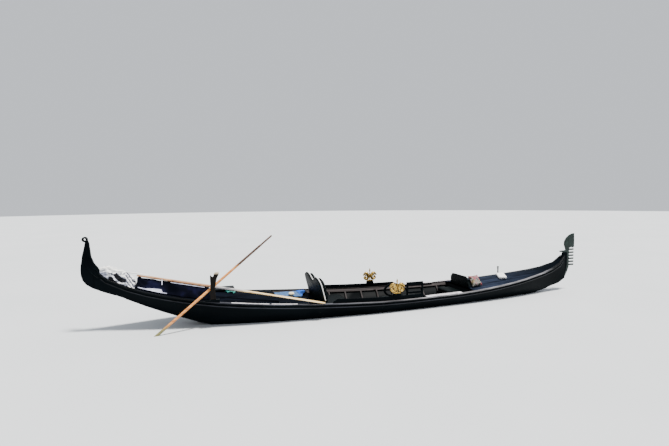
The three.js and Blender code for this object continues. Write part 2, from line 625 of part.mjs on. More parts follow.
// Rowlock post on its block, with the elbow inboard that the oar lies over
const LOCK = { outer: -494, inner: -453 };
const LOCK_BLOCK = { x0: -3411, x1: -3161, y0: -507, y1: -427 };
const LOCK_OUTLINE = [
  [-3320, 520], [-3327, 600], [-3314, 720], [-3320, 850], [-3321, 945], [-3310, 962], [-3294, 938],
  [-3274, 920], [-3259, 950], [-3252, 988], [-3230, 1006], [-3184, 1010], [-3164, 996], [-3174, 956],
  [-3202, 898], [-3220, 828], [-3234, 755], [-3240, 700], [-3228, 610], [-3222, 520],
];
const lockMiddle = (LOCK.outer + LOCK.inner) / 2;
const ELBOW = [[-3300, 560], [-3240, 545], [-3236, 640], [-3262, 652], [-3292, 630]];
const elbowReach = 66;
add('rowlock', geometryOf(solid(plate(LOCK_OUTLINE, LOCK.inner - LOCK.outer, lockMiddle))
  .add(solid(plate(ELBOW, elbowReach, LOCK.inner - 2 + elbowReach / 2)))), LOOK.walnut);
const blockTop = LOCK_OUTLINE[0][1] - GAP;
add('rowlock_block', loft(stationsBetween(LOCK_BLOCK.x0, LOCK_BLOCK.x1)
  .map((x) => quad(x, LOCK_BLOCK.y0, LOCK_BLOCK.y1, line(x).sheer + FIT, blockTop))), LOOK.black);

// Oars: round loom, then a flat blade; columns: distance from the handle end, half width, half thickness
const OAR_SECTIONS = [
  [0, 16, 16], [260, 17, 17], [320, 22, 22], [1500, 27, 27], [2300, 25, 24], [2750, 34, 18],
  [3300, 62, 13], [4080, 80, 9], [4200, 62, 7],
];
const OAR_SIDES = 10;
function oarSolid(handle, along, wideway, scale) {
  const x = along.clone().normalize();
  const w = wideway.clone().addScaledVector(x, -wideway.dot(x)).normalize();
  const t = new THREE.Vector3().crossVectors(x, w);
  return loft(OAR_SECTIONS.map(([s, half, thin]) => {
    const middle = handle.clone().addScaledVector(x, s * scale);
    return Array.from({ length: OAR_SIDES }, (_, i) => {
      const angle = (2 * Math.PI * i) / OAR_SIDES;
      return middle.clone().addScaledVector(w, half * Math.cos(angle))
        .addScaledVector(t, thin * Math.sin(angle));
    });
  }));
}
const OAR = {
  rest: new THREE.Vector3(-3286, -414, 725),
  water: new THREE.Vector3(-4211, -602, 0),
  inboard: 1440,
};
const oarWay = OAR.water.clone().sub(OAR.rest).normalize();
const oarHandle = OAR.rest.clone().addScaledVector(oarWay, -OAR.inboard);
add('oar', oarSolid(oarHandle, oarWay, new THREE.Vector3(0, 0, 1), 1), LOOK.oar);

const SPARE = { handle: new THREE.Vector3(-4560, 47, 946), end: new THREE.Vector3(-1249, -618, 328) };
const spareWay = SPARE.end.clone().sub(SPARE.handle);
const spareScale = spareWay.length() / 4200;
add('spare_oar', oarSolid(SPARE.handle, spareWay, new THREE.Vector3(0, 1, 0), spareScale), LOOK.oar);

// Folded cover: from the inner curve of the stern post over deck and caps. Columns: x, z of its ridge
const BUNDLE = [
  [-5150, 1126], [-5100, 1156], [-5040, 1174], [-5000, 1166], [-4917, 1139], [-4792, 1082], [-4691, 1021],
  [-4612, 950], [-4572, 866],
];
const BUNDLE_ROUND = [0.12, 0.84, 1, 0.8, 0.5, 0.1];
function hornInner(x) {
  const i = STERN_INNER.findIndex(([px]) => px > x);
  const [ax, az] = STERN_INNER[i - 1];
  const [bx, bz] = STERN_INNER[i];
  return az + ((x - ax) / (bx - ax)) * (bz - az);
}
function underBundle(x) {
  const at = line(x);
  const lift = 3;
  const onCap = (y) => new THREE.Vector3(x, y, at.sheer + lift);
  const inner = x < STERN_DECK.aft
    ? [-32, -12, 12, 32].map((y) => new THREE.Vector3(x, y, Math.max(hornInner(x), at.sheer) + lift + 1))
    : acrossDeck(x, lift).slice(1, -1);
  return [onCap(8 - at.starboard), ...inner, onCap(at.port - 8)];
}
add('folded_cover', loft(BUNDLE.map(([x, ridge]) => {
  const low = underBundle(x);
  const rise = ridge - low[2].z;
  const top = low.map((p, i) => new THREE.Vector3(x, p.y, p.z + rise * BUNDLE_ROUND[i]));
  return [...low, ...top.reverse()];
})), LOOK.canvas);

function spareAt(x) {
  const t = (x - SPARE.handle.x) / spareWay.x;
  return SPARE.handle.clone().addScaledVector(spareWay, t);
}
// Dark cover from the spare oar down to both edges of the stern deck. Columns: x, share of the oar's height
const UNDER_OAR = 31;
const DRAPE = [[-4560, 1], [-4200, 1], [-3900, 1], [-3600, 1], [-3440, 0.96]];
add('dark_cover', loft(DRAPE.map(([x, share]) => {
  const oar = spareAt(x);
  const low = acrossDeck(x, 3, 25);
  const ridge = (oar.z - UNDER_OAR - deckCrown(x, oar.y)) * share;
  const a = low[0].y;
  const b = low[low.length - 1].y;
  const top = low.map((p) => {
    const away = p.y < oar.y ? (oar.y - p.y) / (oar.y - a) : (p.y - oar.y) / (b - oar.y);
    return new THREE.Vector3(x, p.y, p.z + 6 + Math.max(0, ridge - 9) * (1 - away) ** 1.2);
  });
  top.splice(3, 0, new THREE.Vector3(x, oar.y, deckCrown(x, oar.y) + ridge));
  top.sort((p, q) => p.y - q.y);
  return [...low, ...top.reverse()];
})), LOOK.navy);

// Rower's foot platform: a level board on a wedge
const FOOT = { x0: -3230, x1: -2840, y0: 140, y1: 500, z: 562, thick: 20 };
const footBoard = box(FOOT.x0, FOOT.x1, FOOT.y0, FOOT.y1, FOOT.z - FOOT.thick, FOOT.z);
const footWedge = loft([FOOT.x0 + 20, FOOT.x1 - 20].map((x) => {
  const ys = [0, 0.25, 0.5, 0.75, 1].map((t) => FOOT.y0 + 20 + t * (FOOT.y1 - FOOT.y0 - 40));
  return [...ys.map((y) => new THREE.Vector3(x, y, deckCrown(x, y) + 5)),
    new THREE.Vector3(x, ys[4], FOOT.z - 5), new THREE.Vector3(x, ys[0], FOOT.z - 5)];
}));
add('foot_platform', geometryOf(solid(footBoard).add(solid(footWedge))), LOOK.black);

// Folded cloth on the crown of the foredeck, and the mooring peg behind it
const PAD = { x: 3300, y: 50, long: 440, wide: 170, thick: 45, turn: Math.PI / 3, lift: 8, bevel: 10 };
const pad = cushion(-PAD.long / 2, PAD.long / 2, -PAD.wide / 2, PAD.wide / 2, 0, PAD.thick, PAD.bevel);
const padSpan = [PAD.x - PAD.long / 2, PAD.x + PAD.long / 2];
const padSlope = Math.atan((deckCrown(padSpan[1], PAD.y) - deckCrown(padSpan[0], PAD.y)) / PAD.long);
add('folded_cloth', pad.rotateZ(PAD.turn).rotateY(-padSlope)
  .translate(PAD.x, PAD.y, deckCrown(PAD.x, PAD.y) + PAD.lift), LOOK.canvas);
const PEG = { x: 3427, y: 330, r: 16, foot: 26, head: 24, high: 205, lift: 10 };
const peg = new THREE.LatheGeometry([[0, 0], [PEG.foot, 0], [PEG.foot, 14], [PEG.r, 26],
  [PEG.r, PEG.high - 30], [PEG.head, PEG.high - 14], [PEG.r, PEG.high], [0, PEG.high],
].map(([r, z]) => new THREE.Vector2(r, z)), 14);
const pegFoot = deckCrown(PEG.x, PEG.y) + PEG.lift;
add('mooring_peg', peg.rotateX(Math.PI / 2).translate(PEG.x, PEG.y, pegFoot), LOOK.black);

export default group;
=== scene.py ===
"""Gondola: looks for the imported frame. Metres, +X to the bow, +Y to port, +Z up, floor at z = 0."""
import math

import bpy
from mathutils import Matrix, Vector, noise as field
from mathutils.bvhtree import BVHTree


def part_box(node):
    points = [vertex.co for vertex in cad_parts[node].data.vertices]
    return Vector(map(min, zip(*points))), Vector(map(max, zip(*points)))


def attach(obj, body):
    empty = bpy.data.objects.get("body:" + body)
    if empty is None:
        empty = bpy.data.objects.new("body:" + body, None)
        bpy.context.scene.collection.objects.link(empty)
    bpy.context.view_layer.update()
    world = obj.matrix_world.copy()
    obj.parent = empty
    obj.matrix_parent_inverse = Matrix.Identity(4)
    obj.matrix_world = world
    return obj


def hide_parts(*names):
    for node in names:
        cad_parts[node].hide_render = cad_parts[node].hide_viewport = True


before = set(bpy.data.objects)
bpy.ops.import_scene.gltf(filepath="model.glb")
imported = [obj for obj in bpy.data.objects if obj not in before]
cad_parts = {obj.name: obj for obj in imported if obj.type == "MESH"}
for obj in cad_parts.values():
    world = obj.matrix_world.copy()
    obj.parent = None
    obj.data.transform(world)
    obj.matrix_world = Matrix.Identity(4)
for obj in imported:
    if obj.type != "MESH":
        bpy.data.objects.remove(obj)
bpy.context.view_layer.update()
MM = 0.001
DOUBLES_NODE = 0.02 * MM
DOUBLES_FORM = 0.05 * MM
EDGE_ANGLE = math.radians(35)
HIGH_ABOVE = 3
SIDES = {"starboard": -1, "port": 1}
PLANKING = ("stern", "aft", "fore", "bow")


# Small helpers for modelling

def clear_selection():
    bpy.ops.object.select_all(action="DESELECT")


def only(obj):
    """Select one object and nothing else."""
    clear_selection()
    obj.select_set(True)
    bpy.context.view_layer.objects.active = obj


def use(obj, kind, **settings):
    """Add a modifier with its settings and apply it."""
    only(obj)
    modifier = obj.modifiers.new(kind.lower(), kind)
    for key, value in settings.items():
        setattr(modifier, key, value)
    bpy.ops.object.modifier_apply(modifier=modifier.name)
    return obj


def rounded(obj, width, segments=3):
    return use(obj, "BEVEL", width=width, segments=segments, limit_method="ANGLE",
               angle_limit=EDGE_ANGLE, use_clamp_overlap=True)


def edit(obj):
    """Edit mode with all points of one object selected."""
    only(obj)
    bpy.ops.object.mode_set(mode="EDIT")
    bpy.ops.mesh.select_mode(type="VERT")
    bpy.ops.mesh.select_all(action="SELECT")


def leave():
    bpy.ops.object.mode_set(mode="OBJECT")


def outward(obj):
    """Merge doubles, then turn all faces outward."""
    edit(obj)
    bpy.ops.mesh.remove_doubles(threshold=DOUBLES_FORM)
    bpy.ops.mesh.normals_make_consistent(inside=False)
    leave()
    return obj


def settle(obj, name, material, body="hull", angle=35):
    """Finish a piece: place in its mesh, smooth where it is round, coloured, riding on its body."""
    only(obj)
    bpy.ops.object.transform_apply(location=True, rotation=True, scale=True)
    bpy.ops.object.shade_smooth_by_angle(angle=math.radians(angle))
    obj.name = name
    obj.data.name = name
    obj.data.materials.clear()
    obj.data.materials.append(MATERIALS[material])
    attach(obj, body)
    return obj


def copy_of(node):
    """A merged copy of a CAD solid's mesh."""
    obj = bpy.data.objects.new(node + "_copy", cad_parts[node].data.copy())
    bpy.context.scene.collection.objects.link(obj)
    edit(obj)
    bpy.ops.mesh.remove_doubles(threshold=DOUBLES_NODE)
    leave()
    return obj


def mirrored(obj):
    """A copy with its own mesh, mirrored over the boat's middle plane."""
    other = bpy.data.objects.new(obj.name + "_twin", obj.data.copy())
    bpy.context.scene.collection.objects.link(other)
    other.data.transform(Matrix.Diagonal((1, -1, 1, 1)))
    return outward(other)


def joined(parts):
    clear_selection()
    for part in parts:
        part.select_set(True)
    bpy.context.view_layer.objects.active = parts[0]
    bpy.ops.object.join()
    return parts[0]


def add_block(low, high, edge):
    """A block between two corners with rounded edges."""
    low, high = Vector(low), Vector(high)
    clear_selection()
    bpy.ops.mesh.primitive_cube_add(size=1, location=(low + high) / 2)
    obj = bpy.context.object
    obj.scale = high - low
    bpy.ops.object.transform_apply(location=True, rotation=True, scale=True)
    return rounded(obj, edge)


def add_rows(rows):
    """A grid primitive drawn through rows of points."""
    clear_selection()
    across, along = len(rows[0]), len(rows)
    bpy.ops.mesh.primitive_grid_add(x_subdivisions=across - 1, y_subdivisions=along - 1, size=1)
    obj = bpy.context.object
    for vertex, point in zip(obj.data.vertices, [p for row in rows for p in row]):
        vertex.co = point
    return obj


def add_sheet(rows, thick):
    """Cloth through rows of points, with its real thickness."""
    return use(add_rows(rows), "SOLIDIFY", thickness=thick, offset=0)


def add_form(rings):
    """A closed form through rings of points, filled at both ends."""
    obj = add_rows([list(ring) + [ring[0]] for ring in rings])
    edit(obj)
    bpy.ops.mesh.remove_doubles(threshold=DOUBLES_NODE)
    bpy.ops.mesh.select_all(action="DESELECT")
    bpy.ops.mesh.select_non_manifold(extend=False, use_boundary=True, use_wire=False,
                                     use_multi_face=False, use_non_contiguous=False, use_verts=False)
    bpy.ops.mesh.edge_face_add()
    leave()
    return outward(obj)


def circle(middle, way, radius, count=24, flat=1.0, up=(0, 0, 1)):
    """Points of a circle across a direction; flat squeezes it along its second axis."""
    way = Vector(way).normalized()
    wide = (Vector(up) - way * way.dot(Vector(up))).normalized()
    thin = way.cross(wide)
    turns = [math.tau * i / count for i in range(count)]
    return [Vector(middle) + wide * radius * math.cos(a) + thin * radius * flat * math.sin(a) for a in turns]


def turned_form(foot, profile):
    """A form turned on an upright axis; profile columns: height, radius, both in mm."""
    return add_form([circle(Vector(foot) + Vector((0, 0, z * MM)), (0, 0, 1), r * MM, 28, up=(1, 0, 0))
                     for z, r in profile])


def bar(points, radius, shares=None, closed=False):
    """A round bar through points; shares are the radius at each point as a part of the full one."""
    clear_selection()
    bpy.ops.curve.primitive_nurbs_path_add(radius=1)
    obj = bpy.context.object
    curve = obj.data
    curve.bevel_depth = radius
    curve.bevel_resolution = 3
    curve.use_fill_caps = True
    line = curve.splines[0]
    line.points.add(len(points) - len(line.points))
    for at, point, share in zip(line.points, points, shares or [1] * len(points)):
        at.co = (*point, 1)
        at.radius = share
    line.order_u = 3
    line.resolution_u = 6
    line.use_cyclic_u = closed
    line.use_endpoint_u = not closed
    bpy.ops.object.convert(target="MESH")
    return outward(bpy.context.object)


def ease(value):
    """Soft step from 0 to 1."""
    value = max(0.0, min(1.0, value))
    return value * value * (3 - 2 * value)


def within(value, low, high, soft):
    """1 between two limits, falling to 0 at them over a soft edge."""
    return ease((value - low) / soft) * ease((high - value) / soft)


def between(table, x):
    """Row of a table at x, its first column, straight between rows."""
    if x <= table[0][0]:
        return table[0]
    for a, b in zip(table, table[1:]):
        if x <= b[0]:
            t = (x - a[0]) / (b[0] - a[0])
            return tuple(p + t * (q - p) for p, q in zip(a, b))
    return table[-1]


def curved(table, t):
    """Point on the smooth line through the rows of a table, t from 0 to 1."""
    count = len(table) - 1
    i = min(int(t * count), count - 1)
    s = t * count - i
    a, b, c, d = [Vector(table[max(0, min(count, k))]) for k in (i - 1, i, i + 1, i + 2)]
    return 0.5 * (2 * b + (c - a) * s + (2 * a - 5 * b + 4 * c - d) * s ** 2
                  + (3 * b - a - 3 * c + d) * s ** 3)


# The frame's own lines and surfaces

TREES = {}


def meets(node, start, way):
    """Where a ray meets a CAD solid, or None."""
    if node not in TREES:
        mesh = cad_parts[node].data
        corners = [v.co for v in mesh.vertices]
        TREES[node] = BVHTree.FromPolygons(corners, [p.vertices[:] for p in mesh.polygons])
    return TREES[node].ray_cast(Vector(start), Vector(way))[0]


def top_of(node, x, y):
    """Height of a solid's top at a place, or None beside it."""
    at = meets(node, (x, y, HIGH_ABOVE), (0, 0, -1))
    return at.z if at else None


def read_rail(side):
    """The gunwale cap's line; columns: x, top z, outer y, inner y."""
    rows = {}
    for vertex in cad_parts["gunwale_cap_" + side].data.vertices:
        rows.setdefault(round(vertex.co.x, 3), []).append(vertex.co)
    found = []
    for x, points in sorted(rows.items()):
        reach = [abs(p.y) for p in points]
        found.append((x, max(p.z for p in points), SIDES[side] * max(reach), SIDES[side] * min(reach)))
    return found


RAIL = {side: read_rail(side) for side in SIDES}


# Camera

CAMERA = Vector((-3.548, -8.3135, 2.27))
YAW = math.radians(18)
FOCAL_PIXELS = 430
PITCH = -math.atan(23.2 / FOCAL_PIXELS)
ROLL = math.radians(-0.45)
PICTURE_WIDE = 669
SENSOR = 36
SEES_TO = 400


def place_camera():
    data = bpy.data.cameras.new("camera")
    data.sensor_width = SENSOR
    data.lens = FOCAL_PIXELS * SENSOR / PICTURE_WIDE
    data.clip_end = SEES_TO
    camera = bpy.data.objects.new("camera", data)
    bpy.context.scene.collection.objects.link(camera)
    ahead = Vector((math.sin(YAW) * math.cos(PITCH), math.cos(YAW) * math.cos(PITCH), math.sin(PITCH)))
    right = Vector((math.cos(YAW), -math.sin(YAW), 0))
    up = right.cross(ahead)
    across = right * math.cos(ROLL) + up * math.sin(ROLL)
    over = up * math.cos(ROLL) - right * math.sin(ROLL)
    camera.matrix_world = Matrix.Translation(CAMERA) @ Matrix((across, over, -ahead)).transposed().to_4x4()
    bpy.context.scene.camera = camera


# Finishes

def linear(colour):
    """sRGB hex to linear RGBA."""
    values = [int(colour[i:i + 2], 16) / 255 for i in (1, 3, 5)]
    return [v / 12.92 if v <= 0.04045 else ((v + 0.055) / 1.055) ** 2.4 for v in values] + [1]


def add_node(tree, kind, *values, out=None, stops=(), **named):
    """Add a shader node. Lower-case names are its settings, capital ones its inputs, values fill the
    inputs in order, stops are a ramp's places and colours. Gives the output called out, or the first."""
    node = tree.nodes.new("ShaderNode" + kind)
    for key, value in named.items():
        if key[0].islower():
            setattr(node, key, value)
    live = [socket for socket in node.inputs if socket.enabled]
    chosen = list(zip(live, values))
    chosen += [(s, named[s.name.replace(" ", "_")]) for s in live if s.name.replace(" ", "_") in named]
    for socket, value in chosen:
        if isinstance(value, bpy.types.NodeSocket):
            tree.links.new(value, socket)
        else:
            socket.default_value = value
    for i, (place, colour) in enumerate(stops):
        elements = node.color_ramp.elements
        element = elements[i] if i < 2 else elements.new(place)
        element.position = place
        element.color = linear(colour)
    return next(s for s in node.outputs if s.enabled and out in (None, s.name))


class Finish:
    """A material under way: its shader, its nodes, and the place on the object that patterns read."""

    def __init__(self, name, roughness=0.5, **sockets):
        self.material = bpy.data.materials.new(name)
        self.material.use_nodes = True
        self.tree = self.material.node_tree
        self.shader = self.tree.nodes["Principled BSDF"]
        self.shader.inputs["Roughness"].default_value = roughness
        for key, value in sockets.items():
            self.shader.inputs[key.replace("_", " ")].default_value = value
        self.place = self.add("TexCoord", out="Object")

    def add(self, kind, *values, **named):
        return add_node(self.tree, kind, *values, **named)

    def done(self, colour, roughness=None, height=None, depth=0.0):
        """Join colour, roughness and relief of a depth in metres to the shader."""
        self.tree.links.new(colour, self.shader.inputs["Base Color"])
        if roughness:
            self.tree.links.new(roughness, self.shader.inputs["Roughness"])
        if height:
            normal = self.add("Bump", Height=height, Distance=depth, Strength=1.0)
            self.tree.links.new(normal, self.shader.inputs["Normal"])
        return self.material


def plank_seams(it, wide, gap, axis="Y"):
    """1 on boards of a width, 0 in the seams between them."""
    across = it.add("SeparateXYZ", it.place, out=axis)
    folded = it.add("Math", across, wide / 2, operation="PINGPONG")
    return it.add("MapRange", Value=folded, From_Max=gap)


def threads(it, pitch=6 * MM):
    """Crossing threads, drawn coarser than the real 0.6 mm so that they show."""
    turns = [it.add("TexWave", out="Fac", Vector=it.place, Scale=1 / (math.pi * pitch), bands_direction=axis)
             for axis in "XY"]
    return it.add("Math", *turns, operation="MULTIPLY")


def black_boat_enamel():
    """Enamel brushed over planks: deep black, with a soft wobble in what it mirrors."""
    it = Finish("black_boat_enamel", Specular_IOR_Level=0.012)
    along = it.add("Mapping", Vector=it.place, Scale=(0.25, 1, 1))
    patches = it.add("TexNoise", Vector=along, Scale=1 / 0.35, Detail=3.0)
    brushed = it.add("TexNoise", Vector=along, Scale=1 / 0.12, Detail=4.0)
    return it.done(it.add("ValToRGB", patches, stops=[(0.3, "#030507"), (0.7, "#080d10")]),
                   it.add("MapRange", Value=brushed, To_Min=0.2, To_Max=0.42), brushed, 1.2 * MM)


def varnished_rail(name, painted_reflection_stops):
    """Varnish over black, with a painted reflection along the boat: dark at both ends, a painted grey
    highlight between; stops are its painted greys along the boat, from 0 at the stern to 1 at the bow."""
    it = Finish(name, Specular_IOR_Level=0.05, Coat_Weight=0.08, Coat_Roughness=0.25)
    along = it.add("Mapping", Vector=it.place, Scale=(0.1, 1, 1))
    worn = it.add("TexNoise", Vector=along, Scale=1 / 0.06, Detail=5.0)
    place = it.add("SeparateXYZ", it.place, out="X")
    share = it.add("MapRange", Value=place, From_Min=-5.2, From_Max=5.1)
    # Painted reflection: the greys along the boat stand for the sky mirrored in the rail.
    painted_reflection = it.add("ValToRGB", share, stops=painted_reflection_stops)
    patches = it.add("ValToRGB", worn, stops=[(0.35, "#7d7d80"), (0.65, "#ffffff")])
    colour = it.add("Mix", 1.0, painted_reflection, patches, data_type="RGBA", blend_type="MULTIPLY")
    return it.done(colour, it.add("MapRange", Value=worn, To_Min=0.25, To_Max=0.5), worn, 0.4 * MM)


def sanded_deck_paint(name, dark, light, sand, painted_shade_span):
    """Deck paint with sand in it on narrow boards, worn by use: satin, navy cast, fine pale speckle, and
    painted shade that makes it darker over a stretch towards the end of the boat."""
    it = Finish(name, Specular_IOR_Level=0.002)
    along = it.add("Mapping", Vector=it.place, Scale=(0.12, 1, 1))
    worn = it.add("TexNoise", Vector=along, Scale=1 / 0.07, Detail=6.0, Roughness=0.62)
    grit = it.add("TexNoise", Vector=it.place, Scale=1 / 0.018, Detail=2.0)
    paint = it.add("ValToRGB", worn, stops=[(0.35, dark), (0.7, light)])
    speck = it.add("ValToRGB", grit, stops=[(0.45, "#000000"), (0.75, "#8a8fae")])
    colour = it.add("Mix", sand, paint, speck, data_type="RGBA", blend_type="ADD")
    place = it.add("SeparateXYZ", it.place, out="X")
    # Painted shade: darker over the stretch of x given in the last argument.
    far = it.add("MapRange", Value=place, From_Min=painted_shade_span[0], From_Max=painted_shade_span[1])
    colour = it.add("Mix", far, colour, linear("#080c11"), data_type="RGBA")
    return it.done(colour, it.add("MapRange", Value=worn, To_Min=0.36, To_Max=0.62),
                   plank_seams(it, 0.11, 3 * MM), 1.5 * MM)


def filed_steel():
    """Forged and filed steel left to the weather: grey-green, file marks, dull spots."""
    it = Finish("filed_steel", Metallic=0.6)
    spots = it.add("TexNoise", Vector=it.place, Scale=1 / 0.06, Detail=5.0)
    marks = it.add("Mapping", Vector=it.place, Scale=(1, 1, 14))
    filed = it.add("TexNoise", Vector=marks, Scale=1 / 0.02, Detail=3.0)
    colour = it.add("ValToRGB", spots, stops=[(0.35, "#111b18"), (0.8, "#35453f"), (0.6, "#1f2d29")])
    return it.done(colour, it.add("MapRange", Value=spots, To_Min=0.34, To_Max=0.6), filed, 0.2 * MM)


def cast_brass():
    """Cast brass: warm gold, browner in random patches."""
    it = Finish("cast_brass", 0.32, Metallic=0.9)
    tarnish = it.add("TexNoise", Vector=it.place, Scale=1 / 0.03, Detail=4.0)
    grain = it.add("TexNoise", Vector=it.place, Scale=1 / 0.008, Detail=3.0)
    colour = it.add("ValToRGB", tarnish, stops=[(0.3, "#6b5220"), (0.8, "#f0dc9c"), (0.55, "#bd9a4c")])
    return it.done(colour, it.add("MapRange", Value=tarnish, To_Min=0.24, To_Max=0.42), grain, 0.5 * MM)


def oiled_walnut():
    """Oiled walnut carved from a quarter trunk: near-black brown, with a pale painted highlight on its top.
    """
    it = Finish("oiled_walnut", 0.42, Specular_IOR_Level=0.08)
    upright = it.add("Mapping", Vector=it.place, Scale=(1, 1, 0.08))
    grain = it.add("TexNoise", Vector=upright, Scale=1 / 0.012, Detail=5.0, Roughness=0.6)
    wood = it.add("ValToRGB", grain, stops=[(0.35, "#070605"), (0.75, "#201914"), (0.55, "#100c0a")])
    pale = it.add("ValToRGB", grain, stops=[(0.3, "#8d7d66"), (0.7, "#d9ccb2")])
    height = it.add("SeparateXYZ", it.place, out="Z")
    # Painted highlight: pale on the rowlock's top, from 0.965 to 0.99 m up.
    painted_highlight_share = it.add("MapRange", Value=height, From_Min=0.965, From_Max=0.99)
    return it.done(it.add("Mix", painted_highlight_share, wood, pale, data_type="RGBA"), None, grain, 0.4 * MM)


def rubbed_floorboards():
    """Painted pine boards, rubbed bare in places: dark brown with grey wear."""
    it = Finish("rubbed_floorboards", 0.6, Specular_IOR_Level=0.2)
    along = it.add("Mapping", Vector=it.place, Scale=(0.1, 1, 1))
    grain = it.add("TexNoise", Vector=along, Scale=1 / 0.03, Detail=5.0, Roughness=0.6)
    colour = it.add("ValToRGB", grain, stops=[(0.3, "#120e0e"), (0.8, "#473c39"), (0.6, "#271f20")])
    return it.done(colour, None, plank_seams(it, 0.13, 4 * MM), 3 * MM)


def buffed_leather(name, colour, deep, specular=0.06):
    """Leather dyed and buffed: fine pebble grain, a shine that changes in random patches."""
    it = Finish(name, Specular_IOR_Level=specular)
    dye = it.add("TexNoise", Vector=it.place, Scale=1 / 0.05, Detail=4.0)
    pebble = it.add("TexVoronoi", out="Distance", Vector=it.place, Scale=1 / (5 * MM))
    return it.done(it.add("ValToRGB", dye, stops=[(0.35, deep), (0.7, colour)]),
                   it.add("MapRange", Value=dye, To_Min=0.36, To_Max=0.56), pebble, 0.5 * MM)


def woven(name, colours, patch, roughness=0.85, specular=0.05, sheen=0.15):
    """Woven cloth: threads that cross, and a slow change of shade over patches of a size."""
    it = Finish(name, roughness, Specular_IOR_Level=specular, Sheen_Weight=sheen)
    shade = it.add("TexNoise", Vector=it.place, Scale=1 / patch, Detail=4.0)
    low, middle, high = colours
    colour = it.add("ValToRGB", shade, stops=[(0.35, low), (0.7, high), (0.52, middle)])
    return it.done(colour, None, threads(it), 0.6 * MM)


def lined_canvas():
    """Bleached white canvas with painted shade read from the fold value: lilac grey where it turns away,
    black in the folds.
    """
    it = Finish("lined_canvas", 0.85, Specular_IOR_Level=0.1)
    fold = it.add("Attribute", out="Fac", attribute_name="fold")
    dust = it.add("TexNoise", Vector=it.place, Scale=1 / 0.05, Detail=4.0)
    cloth = it.add("ValToRGB", dust, stops=[(0.35, "#dcdcdc"), (0.6, "#fbfaf5")])
    painted_shade_tone = it.add("ValToRGB", fold, stops=[(0.0, "#ffffff"), (0.8, "#121318"), (0.35, "#8f93a6"),
                                             (0.62, "#4a4c5a")])
    colour = it.add("Mix", 1.0, cloth, painted_shade_tone, data_type="RGBA", blend_type="MULTIPLY")
    return it.done(colour, None, threads(it), 0.6 * MM)


def scuffed_plate():
    """Moulded step plate, scuffed: off-white with a lilac cast."""
    it = Finish("scuffed_step_plate", 0.5)
    scuff = it.add("TexNoise", Vector=it.place, Scale=1 / 0.09, Detail=5.0)
    fine = it.add("TexNoise", Vector=it.place, Scale=1 / 0.01, Detail=3.0)
    colour = it.add("ValToRGB", scuff, stops=[(0.3, "#a29aa0"), (0.8, "#f6f4f4"), (0.58, "#e0dce0")])
    return it.done(colour, it.add("MapRange", Value=scuff, To_Min=0.35, To_Max=0.6), fine, 0.4 * MM)


def varnished_beech(name, low, middle, high, way, turns=()):
    """Beech spokeshaved round and varnished: grain along the loom, browner at the grip, olive at the
    blade. Turns: height where another shade starts, height where it is full, its dark and its light."""
    it = Finish(name, 0.42, Specular_IOR_Level=0.4)
    turn = Vector(way).to_track_quat("X", "Z").inverted().to_euler()
    along = it.add("Mapping", Vector=it.place, Scale=(0.05, 1, 1), Rotation=turn)
    grain = it.add("TexNoise", Vector=along, Scale=1 / 0.02, Detail=5.0, Roughness=0.6)
    wood = it.add("ValToRGB", grain, stops=[(0.3, low), (0.8, high), (0.55, middle)])
    height = it.add("SeparateXYZ", it.place, out="Z")
    for start, end, dark, light in turns:
        brown = it.add("ValToRGB", grain, stops=[(0.3, dark), (0.7, light)])
        share = it.add("MapRange", Value=height, From_Min=start, From_Max=end)
        wood = it.add("Mix", share, wood, brown, data_type="RGBA")
    return it.done(wood, None, grain, 0.3 * MM)


FLOWER = 0.07


def flowered_cotton():
    """Printed cotton: five-petalled flowers in red, pink, olive and black, with dark hearts on grey."""
    it = Finish("flowered_cotton", 0.85, Specular_IOR_Level=0.2)
    cell = {"Vector": it.place, "Scale": 1 / FLOWER, "Randomness": 0.8}
    near = it.add("TexVoronoi", out="Distance", **cell)
    middle = it.add("TexVoronoi", out="Position", **cell)
    tint = it.add("TexVoronoi", out="Color", **cell)
    away = it.add("VectorMath", it.place, middle, operation="SUBTRACT")
    level = it.add("SeparateXYZ", away, out="X")
    rise = it.add("SeparateXYZ", away, out="Z")
    angle = it.add("Math", level, rise, operation="ARCTAN2")
    five = it.add("Math", angle, 5.0, operation="MULTIPLY")
    petals = it.add("Math", five, operation="COSINE")
    reach = it.add("MapRange", Value=petals, From_Min=-1.0, To_Min=0.44, To_Max=0.74)
    inside = it.add("Math", near, reach, operation="LESS_THAN")
    heart = it.add("Math", near, 0.14, operation="LESS_THAN")
    pick = it.add("SeparateColor", tint, out="Red")
    petal = it.add("ValToRGB", pick, stops=[(0.0, "#8f3030"), (0.85, "#958f87"), (0.3, "#92666e"),
                                            (0.5, "#6c6f3c"), (0.7, "#1d1c20")])
    shade = it.add("TexNoise", Vector=it.place, Scale=1 / 0.04, Detail=3.0)
    ground = it.add("ValToRGB", shade, stops=[(0.4, "#4d4c4b"), (0.6, "#85827e")])
    core = it.add("ValToRGB", pick, stops=[(0.0, "#2a2018"), (1.0, "#3d3420")])
    flower = it.add("Mix", inside, ground, petal, data_type="RGBA")
    return it.done(it.add("Mix", heart, flower, core, data_type="RGBA"), None, threads(it), 0.5 * MM)


# Oars: where the main one lies on the rowlock and meets the floor, and both ends of the spare one
OAR_REST = Vector((-3.286, -0.414, 0.725))
OAR_FLOOR = Vector((-4.211, -0.602, 0.0))
OAR_WAY = (OAR_FLOOR - OAR_REST).normalized()
OAR_INBOARD = 1.44
OAR_HANDLE = OAR_REST - OAR_WAY * OAR_INBOARD
SPARE_HANDLE = Vector((-4.56, 0.047, 0.946))
SPARE_END = Vector((-1.249, -0.618, 0.328))
SPARE_WAY = (SPARE_END - SPARE_HANDLE).normalized()

